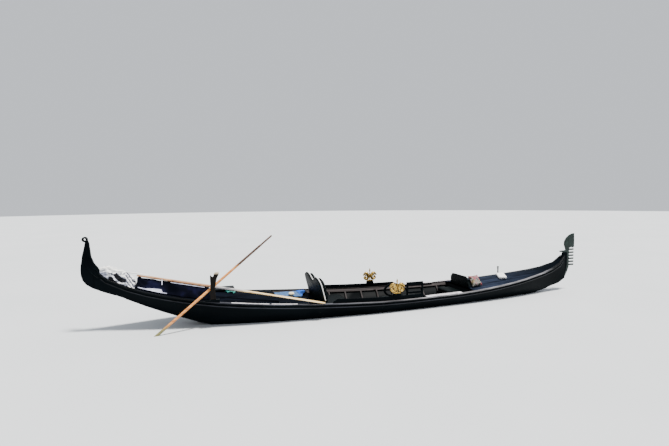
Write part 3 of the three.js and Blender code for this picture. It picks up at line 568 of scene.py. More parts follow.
MATERIALS = {
    "enamel": black_boat_enamel(),
    # The greys along the rails and mouldings below are painted reflection and highlight.
    "rail": varnished_rail("varnished_rail", [(0.17, "#0b0e13"), (1.0, "#090c10"), (0.22, "#4a4b53"),
                                              (0.38, "#55565e"), (0.6, "#878586"), (0.93, "#7b7a7e"),
                                              (0.955, "#0b0e13")]),
    "moulding": varnished_rail("varnished_moulding", [(0.0, "#14171c"), (1.0, "#1b1e24"), (0.3, "#30323a")]),
    "port_rail": varnished_rail("varnished_port_rail", [(0.2, "#0d1114"), (1.0, "#0d1115"), (0.5, "#221f20"),
                                                        (0.7, "#2e2928"), (0.75, "#0f1318")]),
    # The last pair of each deck is the stretch of x over which painted shade darkens it.
    "stern_deck": sanded_deck_paint("stern_deck_paint", "#050609", "#0e121b", 0.006, (-3.0, -12.0)),
    "foredeck": sanded_deck_paint("foredeck_paint", "#0d1119", "#2b3243", 0.012, (3.0, 4.5)),
    "steel": filed_steel(),
    "brass": cast_brass(),
    "walnut": oiled_walnut(),
    "floor": rubbed_floorboards(),
    "leather": buffed_leather("black_buffed_leather", "#0e1415", "#06090a", 0.02),
    "piping": buffed_leather("white_piping_leather", "#f4f3f0", "#d2d1d2"),
    "canvas": lined_canvas(),
    "sponge": woven("bleached_sponge", ("#c9b88a", "#efe3bf", "#fdf8e4"), 0.02),
    "linen": woven("folded_linen", ("#dedede", "#f6f6f4", "#ffffff"), 0.08),
    "navy": woven("navy_cover_cloth", ("#030409", "#070811", "#12132a"), 0.3, 0.6, 0.0, 0.02),
    "hem": woven("lilac_cover_lining", ("#9a9cb4", "#b6b8cc", "#cfd0de"), 0.06, 0.7),
    # One blue carpet in two colours: bright blue as painted sunlight, slate grey-blue as painted shade.
    "blue": woven("blue_carpet", ("#0f3f94", "#1757b4", "#2270cc"), 0.03, 0.95),
    "shaded_blue": woven("slate_carpet", ("#31496a", "#40608a", "#4d709c"), 0.03, 0.95),
    "teal": woven("teal_rag", ("#1c5a55", "#2f8178", "#4fa69a"), 0.02, 0.9),
    "plate": scuffed_plate(),
    "floral": flowered_cotton(),
    "oar": varnished_beech("varnished_loom", "#a05a28", "#dd9450", "#f6c58a", OAR_WAY,
                           [(1.02, 1.12, "#2c1d16", "#5c4232"), (0.2, 0.08, "#5c5a38", "#8d8757")]),
    # On the spare oar the grey stretch, from about 0.6 to 0.7 m up, is painted shade.
    "spare": varnished_beech("pale_spare_oar", "#c69a5e", "#ecd09a", "#fff3cf", SPARE_WAY,
                             [(0.59, 0.63, "#8c8889", "#b9b6b8"), (0.69, 0.72, "#7d4c30", "#cfa277")]),
}


# Solids whose shape is right. Columns: node, material, edge rounding in mm
DRESSED = [
    ("bottom_planking", "enamel", 0), ("stern_post", "enamel", 6), ("stern_band", "steel", 2),
    ("bow_stem", "enamel", 5), ("bow_iron", "steel", 3), ("gunwale_cap_starboard", "rail", 6),
    ("gunwale_cap_port", "port_rail", 6), ("moulding_starboard", "moulding", 0),
    ("moulding_port", "moulding", 0),
    ("stern_deck", "stern_deck", 0), ("foredeck", "foredeck", 0), ("bulkhead_aft", "enamel", 0),
    ("bulkhead_fore", "enamel", 0), ("frames_starboard", "floor", 0), ("frames_port", "floor", 0),
    ("floorboards", "floor", 0), ("low_deck", "stern_deck", 2), ("low_deck_front", "enamel", 2),
    ("main_seat_base", "enamel", 3), ("main_seat_back", "leather", 9), ("side_board_starboard", "enamel", 5),
    ("side_board_port", "enamel", 5), ("chair_aft", "enamel", 5), ("chair_fore", "enamel", 5),
    ("front_bench", "enamel", 3), ("front_panel", "leather", 8), ("rowlock_block", "enamel", 6),
    ("foot_platform", "enamel", 5),
] + [(f"side_{length}_{side}", "enamel", 0) for side in SIDES for length in PLANKING]


def dress(node, material, rounding):
    obj = copy_of(node)
    if rounding:
        rounded(obj, rounding * MM)
    settle(obj, node + "_dressed", material)
    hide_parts(node)


# Folds

# Places in the noise that bend a fold along x, y and z
BEND_AT = ((0, 0, 0), (9, 3, 1), (-4, -8, -2))


def crease(point, size, seed):
    """Sharp folds about a size apart, from 0 in the creases to 1 on the crowns."""
    p = point / size + Vector((seed, seed * 0.7, -seed))
    warp = Vector([field.noise(p * 0.6 + Vector(step)) for step in BEND_AT])
    return 1 - abs(field.noise(p + warp * 1.2)) * 2.2


# Folded cover: a crumpled bundle of white canvas on the stern, with painted shade in its folds. Sizes of its
# folds, stripes and pleats

BIG_FOLD = 0.11
SMALL_FOLD = 0.05
STRIPE = 0.052
PLEAT = 0.13
# Stretches of the bundle painted black as shade: a patch on top, and an arc below it. Columns: from x, to x,
# soft edge
SHADE_PATCH = (-5.03, -4.68, 0.06)
SHADE_ARC = (-4.88, -4.66, 0.04)
# The bundle's drawn-out edge, on to the spare oar
COVER_TAIL = [Vector(p) for p in ((-4.72, 0.05, 1.01), (-4.6, 0.045, 0.992), (-4.5, 0.035, 0.972),
                                  (-4.38, 0.02, 0.942), (-4.28, 0.0, 0.918), (-4.19, -0.02, 0.898))]
TAIL_SHARES = [1.3, 1.2, 1.0, 0.9, 0.8, 0.5]
TAIL_THICK = 9 * MM


def painted_shade_on_bundle(p, small, striped):
    """How dark the bundle is at a point, all painted shade: a black patch on top and an arc below it, dark
    stripes, shade astern.
    """
    rise = p.z - 0.065 * (-4.7 - p.x)
    patch_shade = within(p.x, *SHADE_PATCH) * ease((0.02 - p.y) / 0.05)
    patch_shade *= ease((1.0 + 0.04 * small - rise) / 0.03) * ease((rise - 0.85) / 0.02)
    patch_shade *= ease(1.1 + math.sin((0.7 * p.x + p.z) * math.tau / PLEAT + 2.5 * field.noise(p * 8)))
    arc = 0.45 * within(p.x, *SHADE_ARC) * ease((0.018 - abs(rise - 0.825)) / 0.012)
    lilac = 0.35 * ease((-4.98 - p.x) / 0.06) * ease((1.09 - p.z) / 0.05)
    return max(patch_shade, arc, 0.9 * striped, lilac)


def folded_cover():
    obj = copy_of("folded_cover")
    use(obj, "REMESH", mode="VOXEL", voxel_size=9 * MM)
    use(obj, "SMOOTH", factor=0.5, iterations=12)
    fold = obj.data.attributes.new("fold", "FLOAT", "POINT")
    places = [(v.co.copy(), v.normal.copy()) for v in obj.data.vertices]
    for i, (p, n) in enumerate(places):
        slanted = Vector((p.x * 0.8 + p.z * 1.1, p.y * 0.6, p.z * 1.4 - p.x * 0.5))
        big = crease(slanted, BIG_FOLD, 3.1)
        small = crease(p, SMALL_FOLD, 7.7)
        striped = ease(0.25 + 0.5 * math.sin((p.x + 0.75 * p.z) * math.tau / STRIPE))
        striped *= ease((p.x + 4.76) / 0.05)
        # Painted shade: the fold value darkens the shaded patches and stripes, and the deep creases.
        fold.data[i].value = max(painted_shade_on_bundle(p, small, striped), 0.4 * ease(0.3 - big))
        depth = 20 * big + 8 * small - 22 - 8 * striped
        obj.data.vertices[i].co = p + n * (depth * MM * ease((n.z + 0.6) / 0.5))
    obj = joined([obj, bar(COVER_TAIL, TAIL_THICK, TAIL_SHARES)])
    settle(obj, "folded_cover_canvas", "canvas", angle=60)
    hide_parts("folded_cover")


# Dark cover: cloth from the spare oar down to both edges of the stern deck

COVER = {"aft": -4.553, "fore": -3.33, "columns": 104, "rows": 54, "thick": 4 * MM, "cut": 1.12,
         "held": 0.16}
CREASES_FROM = Vector((-4.62, 0.12))
INSIDE_CAP = 27 * MM
COVER_SOLID_TO = -3.445
DECK_GAP = 6 * MM


def cover_height(x, y):
    """Top of the cover; ahead of the solid it goes on down beside the spare oar."""
    past = max(0, x - COVER_SOLID_TO)
    top = top_of("dark_cover", x - past, y)
    deck = top_of("stern_deck", x, y) + DECK_GAP
    return deck if top is None else max(deck, top + past * SPARE_WAY.z / SPARE_WAY.x)


def dark_cover():
    rows = []
    for i in range(COVER["columns"]):
        x = COVER["aft"] + (COVER["fore"] - COVER["aft"]) * i / (COVER["columns"] - 1)
        low = between(RAIL["starboard"], x)[3] + INSIDE_CAP
        high = between(RAIL["port"], x)[3] - INSIDE_CAP
        row = []
        for j in range(COVER["rows"]):
            t = j / (COVER["rows"] - 1)
            y = low + t * (high - low)
            away = Vector((x, y)) - CREASES_FROM
            fan = math.atan2(away.y, away.x) * 17 + 2.2 * field.noise(Vector((x * 3, y * 5, 0)))
            pull = math.sin(fan) * 9 + field.noise(Vector((x * 9, y * 14, 2))) * 7
            pull *= 0.6 + 0.9 * ease((-4.05 - x) / 0.4)
            hold = within(t, 0, 1, COVER["held"])
            row.append(Vector((x, y, cover_height(x, y) + (5 + pull * hold) * MM)))
        rows.append(row)
    obj = add_sheet(rows, COVER["thick"])
    settle(obj, "dark_cover_cloth", "navy", angle=60)
    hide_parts("dark_cover")


# The cover's pale lining, turned up along the starboard cap. Columns: x, width
HEM = [(-4.53, 0.003), (-4.44, 0.012), (-4.36, 0.032), (-4.26, 0.05), (-4.17, 0.058), (-4.14, 0.056),
       (-4.12, 0.006), (-4.05, 0.004)]
# A pale strip under the spare oar, a painted highlight along a fold of the cover, and the tab below it
FOLD_HIGHLIGHT = {"aft": -3.99, "fore": -3.41, "below": 30 * MM, "beside": 22 * MM, "wide": 7 * MM}
TAB = [Vector((-4.136, -0.06, 0.862)), Vector((-4.133, -0.14, 0.78))]
TAB_WIDE = 13 * MM
LINING_THICK = 3 * MM


def hem_rows():
    rows = []
    for i in range(48):
        x = HEM[0][0] + (HEM[-1][0] - HEM[0][0]) * i / 47
        _, top, _, inner = between(RAIL["starboard"], x)
        width = between(HEM, x)[1]
        row = []
        for j in range(6):
            y = inner + 12 * MM + width * j / 5
            under = max(cover_height(x, max(y, inner + 32 * MM)), top)
            row.append(Vector((x, y, under + (6 + 3 * j) * MM)))
        rows.append(row)
    return rows


def fold_highlight_rows():
    rows = []
    for i in range(24):
        x = FOLD_HIGHLIGHT["aft"] + (FOLD_HIGHLIGHT["fore"] - FOLD_HIGHLIGHT["aft"]) * i / 23
        oar = SPARE_HANDLE + SPARE_WAY * ((x - SPARE_HANDLE.x) / SPARE_WAY.x)
        rows.append([Vector((x, oar.y - FOLD_HIGHLIGHT["beside"] - FOLD_HIGHLIGHT["wide"] * j / 3,
                             oar.z - FOLD_HIGHLIGHT["below"] - FOLD_HIGHLIGHT["wide"] * j / 3)) for j in range(4)])
    return rows


def tab_rows():
    return [[TAB[0].lerp(TAB[1], i / 7) + Vector((TAB_WIDE * (j / 2 - 0.5), 0, 0)) for j in range(3)]
            for i in range(8)]


def turned_lining():
    # The hem and the tab are lining; the strip under the spare oar is a painted highlight.
    patches = [hem_rows(), fold_highlight_rows(), tab_rows()]
    obj = joined([add_sheet(rows, LINING_THICK) for rows in patches])
    settle(obj, "turned_lining", "hem", angle=60)


# Cushions: swelled by pressure in a cloth simulation, seams after. Columns: node, piece, material,
# voxel in mm, start smaller by mm, most swelling in mm, share of thickness kept at the start, fill
PLUMPED = [
    ("main_seat_cushion", "main_seat_cushion_leather", "leather", 12, 6, 16, 1.0, 0.7),
    ("main_seat_back_pad", "main_seat_back_pad_leather", "leather", 12, 6, 18, 1.0, 0.7),
    ("chair_aft_cushion", "chair_aft_cushion_leather", "leather", 9, 4, 12, 1.0, 0.7),
    ("chair_fore_cushion", "chair_fore_cushion_leather", "leather", 9, 4, 12, 1.0, 0.7),
    ("front_bench_cushion", "front_bench_cushion_leather", "leather", 11, 4, 12, 1.0, 0.7),
    ("patterned_cushion", "patterned_cushion_cotton", "floral", 8, 1, 34, 0.35, 0.6),
]
# Way out of the leaning square cushion, and lean of the seat back in radians
SQUARE_OUT = Vector((0.096, -0.793, 0.602))
SEAT_LEAN = 0.25
PRESSURE = 4
SWELL_FRAMES = 20


def thinned(obj, share):
    """Squeeze the leaning square cushion towards its middle plane."""
    middle = sum(v.co.dot(SQUARE_OUT) for v in obj.data.vertices) / len(obj.data.vertices)
    for vertex in obj.data.vertices:
        vertex.co -= SQUARE_OUT * ((vertex.co.dot(SQUARE_OUT) - middle) * (1 - share))


def swell(pieces):
    """Run the cloth simulation of all cushions at once, then hold each point near its start."""
    before = {}
    for obj, _ in pieces:
        before[obj] = [v.co.copy() for v in obj.data.vertices]
        cloth = obj.modifiers.new("cloth", "CLOTH").settings
        cloth.use_pressure = True
        cloth.uniform_pressure_force = PRESSURE
        cloth.effector_weights.gravity = 0
    for step in range(1, SWELL_FRAMES + 1):
        bpy.context.scene.frame_set(step)
    for obj, most in pieces:
        only(obj)
        bpy.ops.object.modifier_apply(modifier="cloth")
        for vertex, start in zip(obj.data.vertices, before[obj]):
            move = vertex.co - start
            if move.length > most * MM:
                vertex.co = start + move.normalized() * most * MM
    bpy.context.scene.frame_set(1)


def cushions():
    pieces = []
    for node, _, _, voxel, smaller, most, kept, _ in PLUMPED:
        obj = copy_of(node)
        if kept < 1:
            thinned(obj, kept)
        use(obj, "REMESH", mode="VOXEL", voxel_size=voxel * MM)
        use(obj, "DISPLACE", strength=-smaller * MM, mid_level=0)
        pieces.append((obj, most))
    swell(pieces)
    for (obj, _), (node, name, material, *_, fill) in zip(pieces, PLUMPED):
        if node == "main_seat_back_pad":
            buttons(obj)
        use(obj, "SUBSURF", levels=1, render_levels=1)
        settle(obj, name, material, angle=60)
        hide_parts(node)


# Buttons in the back pad. Columns: y, height up the back
BUTTONS = [(-0.42, 0.36), (-0.21, 0.36), (0.0, 0.36), (0.2, 0.36), (0.41, 0.36),
           (-0.32, 0.5), (-0.11, 0.5), (0.1, 0.5), (0.31, 0.5)]
BACK_FOOT = Vector((-1.165, -0.005, 0.1142))
BACK_OUT = Vector((math.cos(SEAT_LEAN), 0, math.sin(SEAT_LEAN)))
BACK_UP = Vector((-math.sin(SEAT_LEAN), 0, math.cos(SEAT_LEAN)))
PAD_FACE = 0.088
BUTTON = {"radius": 12 * MM, "draw": 20 * MM, "spread": 0.002, "reach": 0.05}


def buttons(pad):
    """Draw the pad in under each button and set the button there."""
    knobs = []
    for y, up in BUTTONS:
        middle = BACK_FOOT + BACK_UP * up + BACK_OUT * PAD_FACE + Vector((0, y, 0))
        for vertex in pad.data.vertices:
            away = vertex.co - middle
            if away.dot(BACK_OUT) > -BUTTON["reach"]:
                beside = away - BACK_OUT * away.dot(BACK_OUT)
                vertex.co -= BACK_OUT * BUTTON["draw"] * math.exp(-beside.length_squared / BUTTON["spread"])
        clear_selection()
        bpy.ops.mesh.primitive_uv_sphere_add(segments=20, ring_count=10, radius=BUTTON["radius"],
                                             location=middle - BACK_OUT * BUTTON["radius"])
        knobs.append(bpy.context.object)
    settle(joined(knobs), "back_pad_buttons", "leather", angle=60)


# Piping along the seat back, in the lobes' own outline. Columns: share of half width, share of height
LOBE = [(0.0, 0.8), (0.04, 0.82), (0.15, 0.87), (0.3, 0.955), (0.5, 1.0), (0.72, 0.985), (0.87, 0.94),
        (0.96, 0.88), (1.0, 0.79), (1.0, 0.6), (1.0, 0.39)]
BACK = {"half": 0.59, "high": 0.677}
BACK_PIPING = 8.5 * MM


def back_piping():
    for word, side in SIDES.items():
        points = []
        for i in range(60):
            across, up = curved(LOBE, i / 59)
            edge = Vector((0, side * (across * BACK["half"] - 4 * MM), 0))
            points.append(BACK_FOOT + edge + BACK_UP * (up * BACK["high"] - 2 * MM))
        settle(bar(points, BACK_PIPING), "seat_back_piping_" + word, "piping", angle=50)


# Piping round the seat cushions. Columns: piece, x0, x1, y0, y1, z of the seam, in metres
CORDED = [
    ("main_seat_piping", -1.128, -0.587, -0.448, 0.538, 0.196),
    ("bench_piping", 1.8, 2.16, -0.29, 0.43, 0.196),
    ("chair_aft_piping", 0.09, 0.45, -0.386, -0.078, 0.22),
    ("chair_fore_piping", 0.58, 0.94, -0.386, -0.078, 0.22),
]
CORNER = 12 * MM
SEAM_PIPING = 4.5 * MM


def cushion_piping():
    for name, x0, x1, y0, y1, z in CORDED:
        corners = [(x0, y0), (x1, y0), (x1, y1), (x0, y1)]
        points = []
        for k, (x, y) in enumerate(corners):
            after = corners[(k + 1) % 4]
            sx = 1 if x == x0 else -1
            sy = 1 if y == y0 else -1
            turn = [Vector((x + sx * CORNER, y, z)), Vector((x, y + sy * CORNER, z))]
            points += turn if k % 2 else turn[::-1]
            points.append(Vector(((x + after[0]) / 2, (y + after[1]) / 2, z)))
        settle(bar(points, SEAM_PIPING, closed=True), name, "leather", angle=50)


# Rails up the horn of the stern. Columns: x, z
HORN_RAILS = [
    [(-5.02, 0.925), (-5.107, 0.977), (-5.174, 1.064), (-5.255, 1.145), (-5.3, 1.25), (-5.322, 1.39),
     (-5.317, 1.56)],
    [(-5.12, 0.935), (-5.221, 0.997), (-5.3, 1.094), (-5.35, 1.194), (-5.362, 1.343), (-5.35, 1.5)],
]
HORN_RAIL = 9 * MM


def horn_side(x, z, side):
    """How far out the horn or the planking beside it reaches."""
    reach = 0
    for node in ("stern_post", "side_stern_" + side, "gunwale_cap_" + side):
        at = meets(node, (x, SIDES[side] * 0.5, z), (0, -SIDES[side], 0))
        if at:
            reach = max(reach, abs(at.y))
    return SIDES[side] * reach


def horn_rails():
    for side in SIDES:
        for k, table in enumerate(HORN_RAILS):
            places = [curved(table, i / 21) for i in range(22)]
            points = [Vector((x, horn_side(x, z, side), z)) for x, z in places]
            settle(bar(points, HORN_RAIL), f"horn_rail_{side}_{k}", "enamel", angle=50)


# Oars: round loom and flat blade. Columns: distance from the handle end, half width, half thickness
OAR_SECTIONS = [(0, 12, 12), (8, 16, 16), (260, 17, 17), (320, 20, 20), (1500, 24, 24), (2300, 22, 22),
                (2750, 28, 17), (3300, 62, 13), (4080, 80, 9), (4180, 66, 7), (4200, 40, 5)]
OAR_LONG = 4.2


def oar_form(handle, way, up, scale):
    rings = []
    marks = sorted({s for s, _, _ in OAR_SECTIONS} | set(range(300, 4100, 100)))
    for s in marks:
        _, half, thin = between(OAR_SECTIONS, s)
        rings.append(circle(handle + way * (s * MM * scale), way, half * MM, flat=thin / half, up=up))
    return add_form(rings)


def oars():
    main = oar_form(OAR_HANDLE, OAR_WAY, (0, 0, 1), 1)
    settle(main, "oar_beech", "oar", body="oar", angle=50)
    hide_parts("oar")
    scale = (SPARE_END - SPARE_HANDLE).length / OAR_LONG
    spare = oar_form(SPARE_HANDLE, SPARE_WAY, (0, 1, 0), scale)
    settle(spare, "spare_oar_dressed", "spare", angle=50)
    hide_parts("spare_oar")


def rowlock():
    """Carved post: the solid's outline with every edge worked round."""
    obj = copy_of("rowlock")
    use(obj, "REMESH", mode="VOXEL", voxel_size=5 * MM)
    use(obj, "SMOOTH", factor=0.5, iterations=10)
    settle(obj, "rowlock_carved", "walnut", angle=60)
    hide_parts("rowlock")


# Boarding treads with raised ribs. Columns: node, length of the ribs
TREADS = [("tread_starboard", 0.08), ("tread_port", 0.08), ("tread_port_fore", 0.04)]
RIB = {"pitch": 0.03, "first": 0.045, "ends": 0.06, "half": 4 * MM, "high": 2.5 * MM, "sunk": 2 * MM,
       "inset": 6 * MM, "edge": 1.2 * MM}


def treads():
    for node, long in TREADS:
        plate = copy_of(node)
        xs = [v.co.x for v in plate.data.vertices]
        side = "starboard" if "starboard" in node else "port"
        rounded(plate, 3 * MM)
        parts = [plate]
        count = int((max(xs) - min(xs) - RIB["ends"]) / RIB["pitch"])
        for k in range(count):
            x = min(xs) + RIB["first"] + k * RIB["pitch"]
            outer = abs(between(RAIL[side], x)[2]) - RIB["inset"]
            low, high = sorted((SIDES[side] * (outer - long), SIDES[side] * outer))
            z = top_of(node, x, (low + high) / 2)
            foot = (x - RIB["half"], low, z - RIB["sunk"])
            parts.append(add_block(foot, (x + RIB["half"], high, z + RIB["high"]), RIB["edge"]))
        settle(joined(parts), node + "_ribbed", "plate")
        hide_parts(node)


# Pale strips on the starboard cap, a painted highlight where the cap mirrors the sky. Columns: start, end
STRIPS = [(-2.96, -2.29), (-2.25, -1.77)]
STRIP = {"outer": 8 * MM, "inner": 12 * MM, "gap": 0.5 * MM, "thick": 4 * MM, "edge": 1.2 * MM}


# Painted highlight on the starboard cap, built as pale strips.
def cap_strips():
    for k, (start, end) in enumerate(STRIPS):
        rings = []
        for i in range(13):
            x = start + (end - start) * i / 12
            _, top, outer, inner = between(RAIL["starboard"], x)
            low, high = outer + STRIP["outer"], inner - STRIP["inner"]
            foot = top + STRIP["gap"]
            corners = ((low, 0), (high, 0), (high, STRIP["thick"]), (low, STRIP["thick"]))
            rings.append([Vector((x, y, foot + z)) for y, z in corners])
        strip = rounded(add_form(rings), STRIP["edge"], 2)
        settle(strip, f"cap_wear_strip_{k}", "plate")


# Mooring peg and its round head. Columns: height, radius, in mm
PEG_FOOT = Vector((3.427, 0.33, 0))
PEG_PROFILE = [(0, 20), (2, 26), (12, 26), (16, 22), (26, 16), (90, 14), (160, 16), (175, 17), (180, 23),
               (188, 24), (198, 20), (204, 10), (205, 2)]


def mooring_peg():
    low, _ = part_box("mooring_peg")
    peg = turned_form(Vector((PEG_FOOT.x, PEG_FOOT.y, low[2])), PEG_PROFILE)
    settle(peg, "mooring_peg_turned", "walnut", angle=40)
    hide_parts("mooring_peg")


# Crest: two sea-horses back to back with a turned finial between them. Columns: x and z in mm from the
# middle of the foot, and the radius as a share of the body's full one
BODY = 34 * MM
SEA_HORSE = [(116, 84, 0.3), (106, 80, 0.34), (98, 92, 0.38), (112, 106, 0.42), (134, 98, 0.5),
             (136, 72, 0.6), (110, 50, 0.7), (78, 46, 0.8), (50, 66, 0.9), (40, 108, 1.0), (50, 150, 1.0),
             (74, 184, 0.9), (104, 190, 0.8), (128, 170, 0.75), (148, 150, 0.6), (163, 134, 0.4)]
FORELEG = [(60, 142, 0.6), (92, 138, 0.5), (112, 122, 0.4), (104, 110, 0.3)]
EAR = [(118, 184, 0.4), (116, 198, 0.15)]
MANE = [[(96, 196, 0.45), (98, 208, 0.12)], [(78, 192, 0.5), (76, 216, 0.12)],
        [(62, 178, 0.5), (50, 204, 0.12)], [(46, 158, 0.5), (32, 178, 0.12)],
        [(38, 132, 0.5), (26, 148, 0.12)]]
# Finial. Columns: height, radius, in mm
FINIAL = [(26, 16), (34, 18), (44, 9), (90, 8), (150, 9), (176, 14), (186, 14), (194, 8), (208, 8),
          (222, 13), (244, 18), (258, 17), (270, 10), (280, 8), (290, 6), (299, 1)]
# Two steps of the foot. Columns: half length, half width, bottom, top, in mm
CREST_STEPS = [(78, 13, 0, 15), (58, 10, 14, 28)]
CREST_EDGE = 4 * MM
# Place along the boat, inset from the cap's outer edge, height above the cap
CREST_AT = Vector((0.268, 0.042, 0.1324))


def crest_place(side):
    """Middle of the crest's foot on its block on one side."""
    _, top, outer, _ = between(RAIL[side], CREST_AT.x)
    return Vector((CREST_AT.x, outer - SIDES[side] * CREST_AT.y, top + CREST_AT.z))


def crest_bars(foot, way):
    parts = []
    for table in [SEA_HORSE, FORELEG, EAR] + MANE:
        places = [curved(table, i / 23) for i in range(24)]
        points = [foot + Vector((way * x * MM, 0, z * MM)) for x, z, _ in places]
        parts.append(bar(points, BODY, [share for _, _, share in places]))
    return parts


def crests():
    foot = crest_place("starboard")
    parts = crest_bars(foot, 1) + crest_bars(foot, -1)
    for half, wide, bottom, top in CREST_STEPS:
        low, high = Vector((-half, -wide, bottom)) * MM, Vector((half, wide, top)) * MM
        parts.append(add_block(foot + low, foot + high, CREST_EDGE))
    parts.append(turned_form(foot, FINIAL))
    crest = joined(parts)
    other = mirrored(crest)
    shift = crest_place("port") - Vector((foot.x, -foot.y, foot.z))
    other.data.transform(Matrix.Translation(shift))
    for obj, side in ((crest, "starboard"), (other, "port")):
        settle(obj, "sea_horses_" + side, "brass", angle=50)
        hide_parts("sea_horse_" + side)


# Edges of the blue carpet on the low deck, drawn as two sheets, one in painted shade and one in painted
# sunlight. Columns: x, starboard edge, port edge
CARPET_EDGES = [(-2.05, 0.425, 0.695), (-1.95, 0.378, 0.732), (-1.5, 0.19, 0.738), (-1.42, 0.4, 0.742),
                (-1.325, 0.6, 0.742)]
# The carpet's two sheets: the first dull grey-blue as painted shade, the second bright blue as painted
# sunlight. Columns: name, material, start, end, lift in mm, the flat piece it was cut from
CARPETS = [("slate_carpet_cloth", "shaded_blue", -2.052, -1.47, 5, (0.6, 0.6)),
           ("blue_carpet_cloth", "blue", -1.5, -1.325, 13, (0.2, 0.6))]
CARPET_THICK = 6 * MM


def carpets():
    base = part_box("blue_cloth")[0][2]
    for name, material, start, end, lift, cut in CARPETS:
        rows = []
        for i in range(46):
            x = start + (end - start) * i / 45
            _, low, high = between(CARPET_EDGES, x)
            row = []
            for j in range(34):
                y = low + (high - low) * j / 33
                ripple = crease(Vector((x, y, 0)), 0.12, 1.7) * 7
                ripple += field.noise(Vector((x * 25, y * 25, 0))) * 4
                row.append(Vector((x, y, base + (lift + max(0, ripple)) * MM)))
            rows.append(row)
        obj = add_sheet(rows, CARPET_THICK)
        settle(obj, name, material, angle=60)
        if material == "blue":
            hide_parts("blue_cloth")


def sponge():
    obj = copy_of("sponge")
    use(obj, "REMESH", mode="VOXEL", voxel_size=4 * MM)
    use(obj, "SMOOTH", factor=0.5, iterations=6)
    places = [(v.co.copy(), v.normal.copy()) for v in obj.data.vertices]
    for vertex, (p, n) in zip(obj.data.vertices, places):
        vertex.co = p - n * 7 * MM * max(0, 0.5 - crease(p, 0.022, 5.3))
    settle(obj, "sponge_bleached", "sponge", angle=60)
    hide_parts("sponge")


LAYER = 0.011
PAD_SLOPE = 0.12


def folded_linen():
    """The cloth pad on the foredeck: four layers, each a little drawn in at its fold."""
    obj = copy_of("folded_cloth")
    low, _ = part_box("folded_cloth")
    use(obj, "REMESH", mode="VOXEL", voxel_size=5 * MM)
    use(obj, "SMOOTH", factor=0.5, iterations=4)
    places = [(v.co.copy(), v.normal.copy()) for v in obj.data.vertices]
    for vertex, (p, n) in zip(obj.data.vertices, places):
        share = (p.z - low[2] - PAD_SLOPE * (p.x - low[0])) / LAYER
        layer = abs(math.sin(share * math.pi))
        inward = (1 - abs(n.z)) * (1 - layer) * 6
        vertex.co = p - n * (inward + 3 * field.noise(p * 18)) * MM
    settle(obj, "folded_linen_pad", "linen", angle=60)
    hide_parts("folded_cloth")


RAG = {"x": -2.93, "y": 0.14, "long": 0.17, "wide": 0.12, "gap": 4 * MM, "high": 0.03, "thick": 3 * MM,
       "cut": (0.26, 0.2)}


def teal_rag():
    """A crumpled rag on the stern deck beside the foot platform."""
    rows = []
    for i in range(30):
        row = []
        for j in range(24):
            u, v = i / 29 - 0.5, j / 23 - 0.5
            x = RAG["x"] + u * RAG["long"] + v * 0.03
            y = RAG["y"] + v * RAG["wide"] - u * 0.1
            deck = top_of("stern_deck", x, y)
            lump = max(0, crease(Vector((x, y, 0)), 0.07, 4.4)) * RAG["high"]
            row.append(Vector((x, y, deck + RAG["gap"] + lump)))
        rows.append(row)
    obj = add_sheet(rows, RAG["thick"])
    settle(obj, "teal_rag_cloth", "teal", angle=60)


# Rivets down the bow iron's strap. Columns: x, z
RIVETS = [(5.205, 0.9), (5.2, 0.78), (5.21, 0.66), (5.2, 0.53), (5.165, 0.42), (5.1, 0.315), (4.985, 0.226)]
RIVET = {"radius": 7 * MM, "out": 12 * MM, "flat": 0.45}


def rivets():
    parts = []
    for x, z in RIVETS:
        for side in SIDES.values():
            clear_selection()
            bpy.ops.mesh.primitive_uv_sphere_add(segments=16, ring_count=8, radius=RIVET["radius"],
                                                 location=(x, side * RIVET["out"], z))
            dome = bpy.context.object
            dome.scale.y = RIVET["flat"]
            bpy.ops.object.transform_apply(location=True, rotation=True, scale=True)
            parts.append(dome)
    settle(joined(parts), "bow_iron_rivets", "steel", angle=60)


# Floor and light

FLOOR_REACH = 80
HALF_PLANK = 9 * MM
SKY = {"colour": "#e6ebf2", "strength": 0.95}
SUN = {"from": (0.22, -0.18, 0.95), "energy": 8.4, "spread": 10, "colour": (1.0, 0.97, 0.92)}


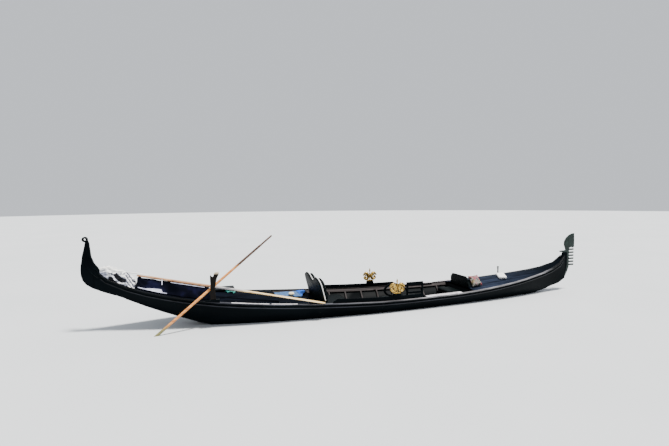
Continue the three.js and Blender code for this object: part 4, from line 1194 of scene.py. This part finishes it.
def waterline():
    """The hull's outline at the floor, half a plank in from its outer face."""
    loop = []
    for side, order in (("starboard", 1), ("port", -1)):
        for x in [0.05 * i for i in range(-70, 80)][::order]:
            for length in PLANKING:
                at = meets(f"side_{length}_{side}", (x, 2 * SIDES[side], 0), (0, -SIDES[side], 0))
                if at:
                    loop.append(Vector((x, at.y - SIDES[side] * HALF_PLANK, 0)))
                    break
    return loop


def floor_round_hull():
    """The floor at the waterline, open where the hull sits in it."""
    loop = waterline()
    far = [p.normalized() * FLOOR_REACH for p in loop]
    obj = add_rows([far + far[:1], loop + loop[:1]])
    edit(obj)
    bpy.ops.mesh.remove_doubles(threshold=DOUBLES_NODE)
    leave()
    return obj


def stage_set():
    """Plain pale floor at the waterline, pale sky, one soft sun high over the bow quarter."""
    floor = floor_round_hull()
    floor.name = "floor"
    it = Finish("pale_floor", 0.7, Specular_IOR_Level=0.2)
    cloudy = it.add("TexNoise", Vector=it.place, Scale=1 / 3, Detail=2.0)
    shade = it.add("ValToRGB", cloudy, stops=[(0.3, "#c7cbce"), (0.7, "#cccfd2")])
    floor.data.materials.append(it.done(shade))
    world = bpy.data.worlds.new("world")
    world.use_nodes = True
    sky = world.node_tree.nodes["Background"]
    sky.inputs["Color"].default_value = linear(SKY["colour"])
    sky.inputs["Strength"].default_value = SKY["strength"]
    bpy.context.scene.world = world
    data = bpy.data.lights.new("sun", "SUN")
    data.energy = SUN["energy"]
    data.angle = math.radians(SUN["spread"])
    data.color = SUN["colour"]
    sun = bpy.data.objects.new("sun", data)
    bpy.context.scene.collection.objects.link(sun)
    sun.rotation_mode = "QUATERNION"
    sun.rotation_quaternion = Vector(SUN["from"]).to_track_quat("Z", "Y")


place_camera()
for row in DRESSED:
    dress(*row)
oars()
folded_cover()
dark_cover()
turned_lining()
cushions()
back_piping()
cushion_piping()
horn_rails()
rowlock()
treads()
cap_strips()
mooring_peg()
crests()
carpets()
sponge()
folded_linen()
teal_rag()
rivets()
stage_set()
